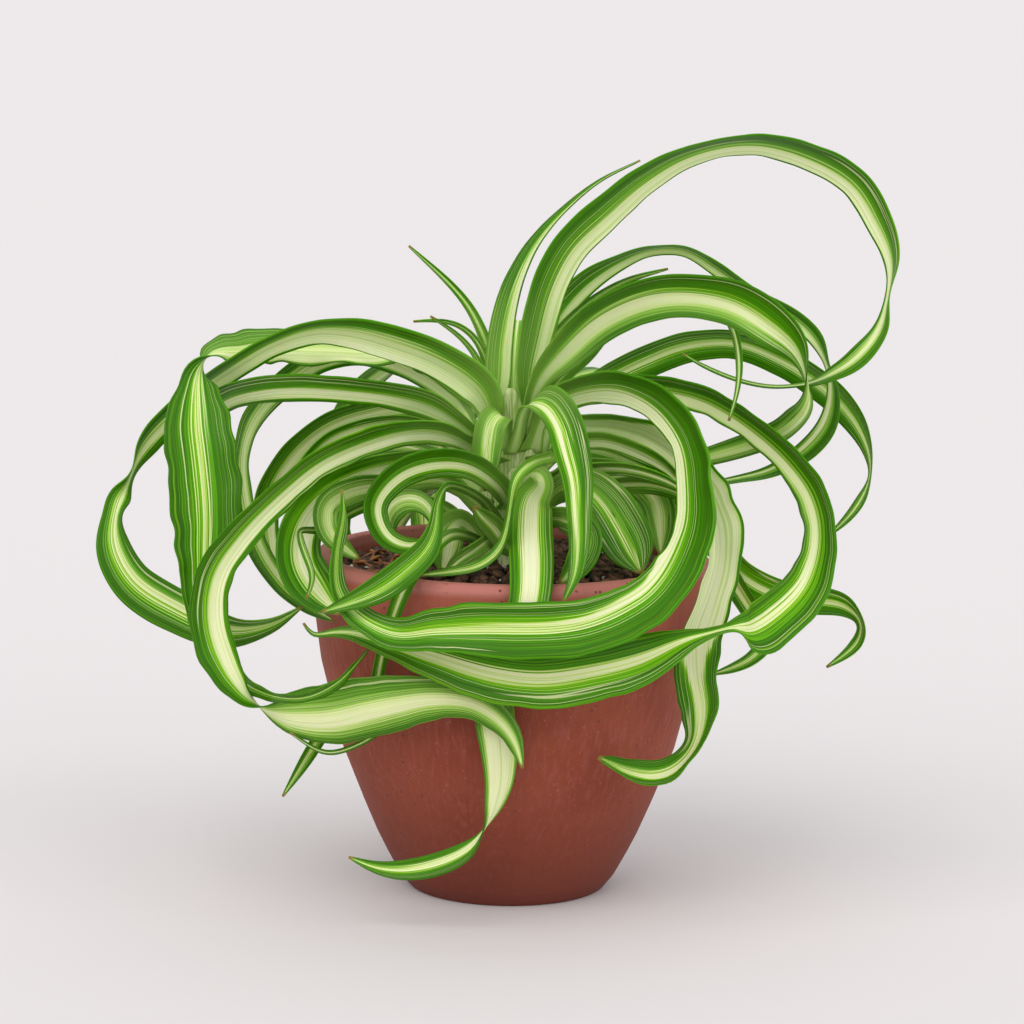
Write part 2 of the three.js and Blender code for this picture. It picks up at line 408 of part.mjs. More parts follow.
// The section of a blade at a distance along it: its place, and the directions across and out of it
function section(leaf, distances, s) {
  const length = distances[distances.length - 1];
  const here = along(leaf.stations, distances, s);
  const before = along(leaf.stations, distances, Math.max(s - 0.5, 0));
  const after = along(leaf.stations, distances, Math.min(s + 0.5, length));
  const place = new THREE.Vector3(...here.slice(0, 3));
  const ahead = new THREE.Vector3(...after.slice(0, 3));
  ahead.sub(new THREE.Vector3(...before.slice(0, 3))).normalize();
  const out = new THREE.Vector3();
  if (leaf.across) {
    out.set(...leaf.across).cross(ahead).normalize();
  } else {
    out.set(...FRONT);
    out.addScaledVector(ahead, -out.dot(ahead)).normalize();
  }
  out.applyAxisAngle(ahead, -THREE.MathUtils.degToRad(here[4]));
  const across = new THREE.Vector3().crossVectors(ahead, out).normalize();
  const fold = THREE.MathUtils.degToRad(THREE.MathUtils.lerp(leaf.fold[0], leaf.fold[1], s / length));
  return { place, out, across, half: Math.max(here[3], BLADE_THICKNESS) / 2, fold };
}

// A blade is a thin closed strip, three points wide, folded along its midrib. Both faces are split
// alike, so that they never cross where it twists.
function bladeGeometry(leaf) {
  const distances = [0];
  leaf.stations.slice(1).forEach((station, i) => {
    const step = Math.hypot(...[0, 1, 2].map((c) => station[c] - leaf.stations[i][c]));
    distances.push(distances[i] + step);
  });
  const length = distances[distances.length - 1];
  const positions = [];
  for (let i = 0; i <= leaf.steps; i += 1) {
    const { place, out, across, half, fold } = section(leaf, distances, (length * i) / leaf.steps);
    for (const face of [0.5, -0.5]) {
      for (const side of [-1, 0, 1]) {
        const rise = half * Math.sin(fold) * (Math.abs(side) - 0.5) + face * BLADE_THICKNESS;
        const reach = side * half * Math.cos(fold);
        const point = place.clone().addScaledVector(across, reach).addScaledVector(out, rise);
        positions.push(point.x, point.y, point.z);
      }
    }
  }
  const index = [];
  const quad = (a, b, c, d) => index.push(a, b, c, a, c, d);
  for (let i = 0; i < leaf.steps; i += 1) {
    const a = 6 * i;
    const b = a + 6;
    quad(a, a + 1, b + 1, b);
    quad(a + 1, a + 2, b + 2, b + 1);
    index.push(a + 4, a + 3, b + 4, a + 3, b + 3, b + 4);
    index.push(a + 5, a + 4, b + 5, a + 4, b + 4, b + 5);
    quad(a, b, b + 3, a + 3);
    quad(a + 2, a + 5, b + 5, b + 2);
  }
  const end = 6 * leaf.steps;
  quad(0, 3, 4, 1);
  quad(1, 4, 5, 2);
  quad(end, end + 1, end + 4, end + 3);
  quad(end + 1, end + 2, end + 5, end + 4);
  const geometry = new THREE.BufferGeometry();
  geometry.setAttribute("position", new THREE.Float32BufferAttribute(positions, 3));
  geometry.setIndex(index);
  geometry.computeVertexNormals();
  return geometry;
}

function named(name, geometry, material) {
  const mesh = new THREE.Mesh(geometry, material);
  mesh.name = name;
  return mesh;
}

const plant = new THREE.Group();
plant.add(named("pot", potGeometry(), finish(colours.pot, 0.85)));
plant.add(named("soil", soilGeometry(), finish(colours.soil, 1)));
plant.add(named("crown", crownGeometry(), finish(colours.crown, 0.6)));
for (const [name, leaf] of Object.entries(LEAVES)) {
  plant.add(named(`leaf_${name}`, bladeGeometry(leaf), finish(colours.leaf, 0.5)));
}

export default plant;
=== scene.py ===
import math
import random

import bmesh
import bpy
from mathutils import Matrix, Vector, noise


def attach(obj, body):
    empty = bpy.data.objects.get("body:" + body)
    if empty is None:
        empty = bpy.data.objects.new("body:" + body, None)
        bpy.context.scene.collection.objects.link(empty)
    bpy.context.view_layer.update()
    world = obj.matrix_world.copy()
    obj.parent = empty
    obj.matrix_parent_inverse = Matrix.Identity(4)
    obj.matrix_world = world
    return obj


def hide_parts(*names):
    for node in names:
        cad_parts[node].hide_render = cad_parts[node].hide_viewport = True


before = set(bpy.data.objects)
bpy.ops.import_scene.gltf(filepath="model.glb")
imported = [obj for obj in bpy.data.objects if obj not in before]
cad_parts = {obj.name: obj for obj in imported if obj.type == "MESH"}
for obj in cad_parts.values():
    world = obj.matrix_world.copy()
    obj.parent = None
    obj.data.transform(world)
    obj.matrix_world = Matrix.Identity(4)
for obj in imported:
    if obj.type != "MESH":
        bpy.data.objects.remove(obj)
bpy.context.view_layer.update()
MM = 0.001


# Camera: level with the upper leaves, 1.2 m in front of the pot and looking 9 degrees down, rolled by
# under a degree. A long lens, so the pot's sides hardly converge.
VIEW_TILT = math.radians(9)
VIEW_ROLL = math.radians(0.8)
VIEW_POINT = Vector((0.14, -1183.2, 310.7))
LENS = 129.66
SENSOR_WIDTH = 36
VIEW_RANGE = 80
camera = bpy.data.cameras.new("camera")
camera.lens = LENS
camera.sensor_width = SENSOR_WIDTH
camera.clip_end = VIEW_RANGE
camera_object = bpy.data.objects.new("camera", camera)
bpy.context.scene.collection.objects.link(camera_object)
ahead = Vector((0, math.cos(VIEW_TILT), -math.sin(VIEW_TILT)))
level = Vector((1, 0, 0))
rise = level.cross(ahead)
right = level * math.cos(VIEW_ROLL) + rise * math.sin(VIEW_ROLL)
above = rise * math.cos(VIEW_ROLL) - level * math.sin(VIEW_ROLL)
place = Matrix((right, above, -ahead)).transposed().to_4x4()
place.translation = VIEW_POINT * MM
camera_object.matrix_world = place
bpy.context.scene.camera = camera_object


# Pot: one thrown clay planter with a flat rim, chamfered outside, and a rounded foot. It was dipped in
# red-brown slip and left matt. Turned here from its section, with the arrises softened.
POT_HEIGHT = 110
RIM_RADIUS = 65
RIM_CHAMFER = 2.1
RIM_INNER_RADIUS = 58.6
FOOT_RADIUS = 32
BASE_THICKNESS = 7
POT_OUTSIDE = [
    (FOOT_RADIUS, 0), (35.6, 4.4), (37.6, 8), (40, 12.5), (43, 18.6), (47.4, 29), (54.5, 47), (61.5, 75),
    (63.4, 89), (RIM_RADIUS, POT_HEIGHT - RIM_CHAMFER),
]
POT_INSIDE = [(57.4, 89), (55.4, 75), (48.6, 47), (41.4, 29), (35, 14), (31, BASE_THICKNESS)]
ARRIS_RADIUS = 0.9
POT_SIDES = 160
SAME_POINT = 0.00001
# the slip's marks in millimetres: how far apart they stand, and for brush marks also how long they are
BRUSH_MARK = (1.54, 1.54, 45.5)
CLOUD = 26.3
GRIT = 1.11
PINHOLE = 3.85


def linear(hex_colour):
    """An sRGB colour, written as hex, in linear light."""
    channels = [int(hex_colour[i:i + 2], 16) / 255 for i in (1, 3, 5)]
    return [c / 12.92 if c <= 0.04045 else ((c + 0.055) / 1.055) ** 2.4 for c in channels] + [1]


def wire(node, inputs):
    """A node's sockets, each given a value or joined to another node's output."""
    for name, value in inputs.items():
        if isinstance(value, bpy.types.NodeSocket):
            node.id_data.links.new(value, node.inputs[name])
        else:
            node.inputs[name].default_value = value


def add(material, kind, inputs=None, output=0, **settings):
    """One shader node, with its settings and its sockets wired. Gives one of its outputs."""
    node = material.node_tree.nodes.new(kind)
    for name, value in settings.items():
        setattr(node, name, value)
    wire(node, inputs or {})
    return node.outputs[output]


def new_material(name, roughness):
    material = bpy.data.materials.new(name)
    material.use_nodes = True
    shader = material.node_tree.nodes["Principled BSDF"]
    shader.inputs["Roughness"].default_value = roughness
    return material, shader


def painted(material, colour, coats):
    """Coats over a colour. Each comes in as its pattern goes from low to high, up to its own strength."""
    for pattern, low, high, strength, coat in coats:
        mask = add(material, "ShaderNodeMapRange",
                   {"Value": pattern, "From Min": low, "From Max": high, "To Max": strength},
                   interpolation_type="SMOOTHSTEP")
        colour = add(material, "ShaderNodeMix", {"Factor": mask, 6: colour, 7: linear(coat)}, 2,
                     data_type="RGBA")
    return colour


def finish_piece(name, mesh_source, materials, nodes=()):
    """The bmesh as a smooth object at the origin, riding with the plant."""
    mesh = bpy.data.meshes.new(name)
    mesh_source.to_mesh(mesh)
    mesh_source.free()
    mesh.polygons.foreach_set("use_smooth", [True] * len(mesh.polygons))
    piece = bpy.data.objects.new(name, mesh)
    bpy.context.scene.collection.objects.link(piece)
    for material in materials:
        mesh.materials.append(material)
    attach(piece, "root")
    if nodes:
        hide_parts(*nodes)
    return piece


def turned(profile, sides):
    """A closed solid of revolution from its section in millimetres, given from the axis to the axis."""
    solid = bmesh.new()
    points = [solid.verts.new((r * MM, 0, z * MM)) for r, z in profile]
    edges = [solid.edges.new(pair) for pair in zip(points, points[1:])]
    bmesh.ops.spin(solid, geom=points + edges, cent=(0, 0, 0), axis=(0, 0, 1), angle=math.tau,
                   steps=sides, use_merge=True)
    bmesh.ops.remove_doubles(solid, verts=solid.verts, dist=SAME_POINT)
    bmesh.ops.recalc_face_normals(solid, faces=solid.faces)
    return solid


def rounded(corners, radius, count=4):
    """The section's corners, each cut back and rounded by a short arc of points."""
    points = [corners[0]]
    for before, corner, after in zip(corners, corners[1:], corners[2:]):
        here = Vector(corner)
        to_before = Vector(before) - here
        to_after = Vector(after) - here
        reach = min(radius, to_before.length * 0.45, to_after.length * 0.45)
        start = here + to_before.normalized() * reach
        end = here + to_after.normalized() * reach
        for i in range(count + 1):
            t = i / count
            points.append(tuple(start * (1 - t) ** 2 + here * 2 * t * (1 - t) + end * t ** 2))
    points.append(corners[-1])
    return points


pot_section = [
    (0, 0), *POT_OUTSIDE, (RIM_RADIUS - RIM_CHAMFER, POT_HEIGHT), (RIM_INNER_RADIUS, POT_HEIGHT),
    *POT_INSIDE, (0, BASE_THICKNESS)]
# Fired clay slip, brushed on upright: matt, with soft streaks, faint clouds, light grit and pinholes
slip, slip_shader = new_material("matt_red_slip_on_thrown_clay", 0.78)
place_on_pot = add(slip, "ShaderNodeTexCoord", output="Object")
height = add(slip, "ShaderNodeSeparateXYZ", {"Vector": place_on_pot}, "Z")
along_brush = add(slip, "ShaderNodeMapping", {
    "Vector": place_on_pot, "Scale": [1 / (size * MM) for size in BRUSH_MARK]})
streaks = add(slip, "ShaderNodeTexNoise", {"Vector": along_brush, "Scale": 1, "Detail": 3})
clouds = add(slip, "ShaderNodeTexNoise", {"Vector": place_on_pot, "Scale": 1 / (CLOUD * MM), "Detail": 4})
grit = add(slip, "ShaderNodeTexNoise", {"Vector": place_on_pot, "Scale": 1 / (GRIT * MM), "Detail": 2})
pinholes = add(slip, "ShaderNodeTexVoronoi", {"Vector": place_on_pot, "Scale": 1 / (PINHOLE * MM)})
in_clouds = add(slip, "ShaderNodeMapRange", {"Value": clouds, "From Min": 0.5, "From Max": 0.6},
                interpolation_type="SMOOTHSTEP")
slip_colour = painted(slip, linear("#86371e"), [
    (clouds, 0.35, 0.65, 1, "#904126"),
    (streaks, 0.42, 0.8, 1, "#96493a"),
    (grit, 0.62, 0.74, 0.3, "#b87867"),
    # painted light: lighter towards the rim, which the lamps reach more fully, and at its edge a pink band of
    # dust with a painted highlight
    (height, 80 * MM, 105 * MM, 0.6, "#ab5a48"),
    (height, 105.5 * MM, 107.5 * MM, 0.5, "#b97c74"),
    (pinholes, 0.16, 0.1, in_clouds, "#6d3327"),
    # painted shade: a little darker towards the foot, where less light reaches it
    (height, 60 * MM, 0, 0.85, "#682817"),
])
relief = add(slip, "ShaderNodeMath", {0: streaks, 1: grit}, operation="ADD")
slip_bump = add(slip, "ShaderNodeBump", {"Height": relief, "Strength": 0.35, "Distance": 0.25 * MM})
wire(slip_shader, {"Base Color": slip_colour, "Normal": slip_bump})
finish_piece("clay_pot", turned(rounded(pot_section, ARRIS_RADIUS), POT_SIDES), [slip], ["pot"])


# Soil: bark and peat with white perlite, filled to 6 mm below the rim and mounded at the crown. The bed
# is one lumpy cake, and loose bark chips, perlite and a tangle of fine roots lie on it.
FIT_GAP = 0.3
SOIL_LEVEL = 104
SOIL_MOUND = 2.5
MOUND_START = 57
MOUND_TOP = 20
SOIL_EDGE = (57.6, SOIL_LEVEL)
SOIL_REACH = 56
SOIL_SIDES = 120
LUMPS_PER_METRE = 260
LUMP_HEIGHT = 1.1
LUMP_SINK = 0.8
PEAT_CRUMB = 1.43
random.seed(7)


def soil_height(r):
    return SOIL_LEVEL + SOIL_MOUND * (1 - min(max((r - MOUND_TOP) / (MOUND_START - MOUND_TOP), 0), 1) ** 1.5)


bed_floor = BASE_THICKNESS + FIT_GAP
bed = turned([
    (0, bed_floor), *[(r - FIT_GAP, max(z, bed_floor)) for r, z in reversed(POT_INSIDE)], SOIL_EDGE,
    *[(r, soil_height(r)) for r in range(SOIL_REACH, 0, -2)], (0, SOIL_LEVEL + SOIL_MOUND)], SOIL_SIDES)
for vertex in bed.verts:
    if vertex.co.z > (SOIL_LEVEL - 1) * MM and vertex.co.xy.length < (SOIL_REACH + 0.5) * MM:
        vertex.co.z += (noise.noise(vertex.co * LUMPS_PER_METRE) * LUMP_HEIGHT - LUMP_SINK) * MM
# Damp potting mix: brown crumbs over dark peat, with painted shade making the hollows between them nearly
# black, and without any gloss
peat, peat_shader = new_material("damp_bark_and_peat", 0.95)
place_on_soil = add(peat, "ShaderNodeTexCoord", output="Object")
crumbs = add(peat, "ShaderNodeTexNoise", {
    "Vector": place_on_soil, "Scale": 1 / (PEAT_CRUMB * MM), "Detail": 6})
peat_bump = add(peat, "ShaderNodeBump", {"Height": crumbs, "Strength": 0.9, "Distance": 0.8 * MM})
wire(peat_shader, {
    "Base Color": painted(peat, linear("#1d140e"), [(crumbs, 0.35, 0.7, 1, "#4d3727")]),
    "Normal": peat_bump})
finish_piece("soil_bed", bed, [peat], ["soil"])

CHIP_COUNT = 900
PERLITE_COUNT = 200
HEAPED_PERLITE = 110
HEAP_RING = (44, 54)
HEAP_TURN = math.pi + 0.66
HEAP_SPREAD = 0.2
PIECE_WIDTHS = (0.5, 0.9)
PIECE_TILTS = (-0.5, 0.5)
PIECE_JITTER = 0.14
PIECE_REST = 0.15
BARE_MIDDLE = 0.02


def scatter(count, smallest, largest, flatness, shape, heaped=0):
    """Small broken pieces lying on the soil at random, each a squashed and jittered shape. The heaped
    ones lie together at the front left."""
    heap = bmesh.new()
    for number in range(count + heaped):
        r = SOIL_REACH * math.sqrt(random.uniform(BARE_MIDDLE, 1))
        turn = random.uniform(0, math.tau)
        if number >= count:
            r = random.uniform(*HEAP_RING)
            turn = random.gauss(HEAP_TURN, HEAP_SPREAD)
        size = random.uniform(smallest, largest)
        squash = Matrix.Diagonal((size, size * random.uniform(*PIECE_WIDTHS), size * flatness, 1))
        tilt = Matrix.Rotation(random.uniform(*PIECE_TILTS), 4, "X")
        tilt = tilt @ Matrix.Rotation(random.uniform(*PIECE_TILTS), 4, "Y")
        rest_height = soil_height(r) + PIECE_REST * size
        where = Matrix.Translation(Vector((r * math.cos(turn), r * math.sin(turn), rest_height)) * MM)
        twist = Matrix.Rotation(random.uniform(0, math.tau), 4, "Z")
        matrix = where @ twist @ tilt @ squash @ Matrix.Scale(MM, 4)
        if shape == "chip":
            made = bmesh.ops.create_cube(heap, size=1, matrix=matrix)["verts"]
        else:
            made = bmesh.ops.create_icosphere(heap, subdivisions=1, radius=0.5, matrix=matrix)["verts"]
        for vertex in made:
            jitter = [random.uniform(-PIECE_JITTER, PIECE_JITTER) for _ in range(3)]
            vertex.co += Vector(jitter) * size * MM
    return heap


def mottled(name, roughness, dark, light, spot):
    """A dull natural surface in two colours, blotched by spots of a size in millimetres."""
    material, shader = new_material(name, roughness)
    where = add(material, "ShaderNodeTexCoord", output="Object")
    spots = add(material, "ShaderNodeTexNoise", {"Vector": where, "Scale": 1 / (spot * MM), "Detail": 3})
    wire(shader, {"Base Color": painted(material, linear(dark), [(spots, 0.38, 0.62, 1, light)])})
    return material


# Split pine bark, brown with darker faces, and crushed perlite, chalky white with grey hollows
bark = mottled("chipped_pine_bark", 0.9, "#2a1b12", "#6e4d35", 3.03)
finish_piece("bark_chips", scatter(CHIP_COUNT, 1.6, 5, 0.45, "chip"), [bark])
perlite = mottled("crushed_perlite", 0.95, "#b9b2a6", "#f1eee8", 2)
perlite_mesh = scatter(PERLITE_COUNT, 1.2, 2.8, 0.8, "grain", HEAPED_PERLITE)
finish_piece("perlite_grains", perlite_mesh, [perlite])

ROOT_COUNT = 26
ROOT_THICKNESS = 0.9
ROOT_POINTS = 7
ROOT_STRIDE = 3.2
ROOT_PATCH = (-40, -4)
ROOT_PATCH_SPREAD = (5, 13)
ROOT_REACH = 51
ROOT_ARCH = (0.4, 3.6)
ROOT_REST = 0.3
ROOT_WANDER = 0.9


def tubes(routes, thickness, sides=8):
    """Closed round cords, one through each row of points, from a bevelled curve made a mesh."""
    curve = bpy.data.curves.new("route", "CURVE")
    curve.dimensions = "3D"
    curve.bevel_depth = thickness * MM / 2
    curve.bevel_resolution = sides // 4
    curve.use_fill_caps = True
    for route in routes:
        spline = curve.splines.new("NURBS")
        spline.points.add(len(route) - 1)
        for point, here in zip(spline.points, route):
            point.co = (*[c * MM for c in here], 1)
        spline.use_endpoint_u = True
    holder = bpy.data.objects.new("route", curve)
    made = bmesh.new()
    made.from_mesh(holder.to_mesh())
    holder.to_mesh_clear()
    bpy.data.objects.remove(holder)
    bmesh.ops.remove_doubles(made, verts=made.verts, dist=SAME_POINT)
    bmesh.ops.recalc_face_normals(made, faces=made.faces)
    return made


roots = []
for _ in range(ROOT_COUNT):
    x = random.gauss(ROOT_PATCH[0], ROOT_PATCH_SPREAD[0])
    y = random.gauss(ROOT_PATCH[1], ROOT_PATCH_SPREAD[1])
    heading = random.uniform(0, math.tau)
    root = []
    for number in range(ROOT_POINTS):
        inward = min(1, ROOT_REACH / math.hypot(x, y))
        x *= inward
        y *= inward
        lift = random.uniform(*ROOT_ARCH) * math.sin(math.pi * number / (ROOT_POINTS - 1))
        root.append((x, y, soil_height(math.hypot(x, y)) + ROOT_REST + lift))
        heading += random.gauss(0, ROOT_WANDER)
        x += ROOT_STRIDE * math.cos(heading)
        y += ROOT_STRIDE * math.sin(heading)
    roots.append(root)
# Dried root skin, orange brown and a little smoother than the bark
root_skin = mottled("dry_orange_brown_root", 0.6, "#6d3f1e", "#b4743f", 3.85)
finish_piece("surface_roots", tubes(roots, ROOT_THICKNESS), [root_skin])


# Crown: the sheathed bases of all the leaves, one short pale stock. Each old base is a broad strip that
# wraps the stock and stands a little away from it at its top, so they overlap all the way up.
CROWN_SECTION = [(0, 102), (7.6, 102), (7.6, 126), (6.6, 142), (5.6, 152), (4, 157), (0, 160)]
CROWN_SIDES = 48
CROWN_SOFTNESS = 2
STOCK_RADIUS = 8.1
STOCK_NARROWING = 2.2
NARROWING_STARTS = 120
NARROWING_HEIGHT = 35
SHEATH_COUNT = 16
SHEATH_TURN = 2.4
SHEATH_FOOT = 103
SHEATH_RISE = 1.9
SHEATH_HEIGHTS = (26, 36)
SHEATH_SPREADS = (1.0, 1.3)
SHEATH_LAP = 0.2
SHEATH_FLARE = 1.1
SHEATH_TAPER = 0.88
OUTER_BASE_COUNT = 9
OUTER_BASE_TURN = 2.2
OUTER_BASE_HEIGHT = 20
OUTER_BASE_STEP = 7
FRONT_BASE_EXTRA = 14
OUTER_BASE_RADIUS = 12.4
OUTER_BASE_WAIST = 3.2
OUTER_BASE_FLARE = 2.2
OUTER_BASE_LAP = 0.7
OUTER_BASE_SPREAD = 0.62
OUTER_BASE_TAPER = 0.8
SHEATH_WALL = 0.5
SHEATH_FIBRE = (0.667, 0.667, 25)
# Living leaf base, pale and smooth, with fine upright fibres
sheath, sheath_shader = new_material("pale_leaf_sheath", 0.5)
place_on_crown = add(sheath, "ShaderNodeTexCoord", output="Object")
along_fibres = add(sheath, "ShaderNodeMapping", {
    "Vector": place_on_crown, "Scale": [1 / (size * MM) for size in SHEATH_FIBRE]})
fibres = add(sheath, "ShaderNodeTexNoise", {"Vector": along_fibres, "Scale": 1, "Detail": 2})
wire(sheath_shader, {
    "Base Color": painted(sheath, linear("#9fbf58"), [(fibres, 0.38, 0.62, 1, "#d6e2a6")])})
crown_stock = turned(rounded(CROWN_SECTION, CROWN_SOFTNESS), CROWN_SIDES)
finish_piece("crown_stock", crown_stock, [sheath], ["crown"])
random.seed(3)
strips = bmesh.new()
for number in range(SHEATH_COUNT):
    facing = number * SHEATH_TURN
    foot = SHEATH_FOOT + number * SHEATH_RISE
    tall = random.uniform(*SHEATH_HEIGHTS)
    reach = random.uniform(*SHEATH_SPREADS)
    made = bmesh.ops.create_grid(strips, x_segments=10, y_segments=14, size=0.5)["verts"]
    for vertex in made:
        across_strip, up = vertex.co.x * 2, vertex.co.y + 0.5
        z = foot + tall * up
        narrowing = STOCK_NARROWING * min(max((z - NARROWING_STARTS) / NARROWING_HEIGHT, 0), 1)
        r = STOCK_RADIUS - narrowing + SHEATH_LAP * (1 + number % 3) + SHEATH_FLARE * up ** 3
        turn = facing + reach * across_strip * (1 - SHEATH_TAPER * up ** 3)
        vertex.co = Vector((r * math.cos(turn), r * math.sin(turn), z)) * MM
# broad outer bases, which clasp the foot of the plant and spread where their leaves break away: the
# first, at the front, is the tallest
for number in range(OUTER_BASE_COUNT):
    facing = -math.pi / 2 + number * OUTER_BASE_TURN
    tall = OUTER_BASE_HEIGHT + number % 3 * OUTER_BASE_STEP + (FRONT_BASE_EXTRA if number == 0 else 0)
    made = bmesh.ops.create_grid(strips, x_segments=12, y_segments=14, size=0.5)["verts"]
    for vertex in made:
        across_strip, up = vertex.co.x * 2, vertex.co.y + 0.5
        r = OUTER_BASE_RADIUS - number % 3 * OUTER_BASE_LAP
        r = r - OUTER_BASE_WAIST * up + OUTER_BASE_FLARE * up ** 4
        turn = facing + OUTER_BASE_SPREAD * across_strip * (1 - OUTER_BASE_TAPER * up ** 4)
        vertex.co = Vector((r * math.cos(turn), r * math.sin(turn), SOIL_LEVEL + tall * up)) * MM
sheaths = finish_piece("crown_sheaths", strips, [sheath])
sheath_wall = sheaths.modifiers.new("thickness", "SOLIDIFY")
sheath_wall.thickness = SHEATH_WALL * MM
sheath_wall.offset = 0


# Leaves: long strips of living leaf, 10 to 24 mm wide, folded along the midrib and twisted as they grew.
# The upper side is glossy green with a cream band and fine lines, and the underside is paler and duller.
# Each is a grid drawn along its own route, with a wall of 0.4 mm.

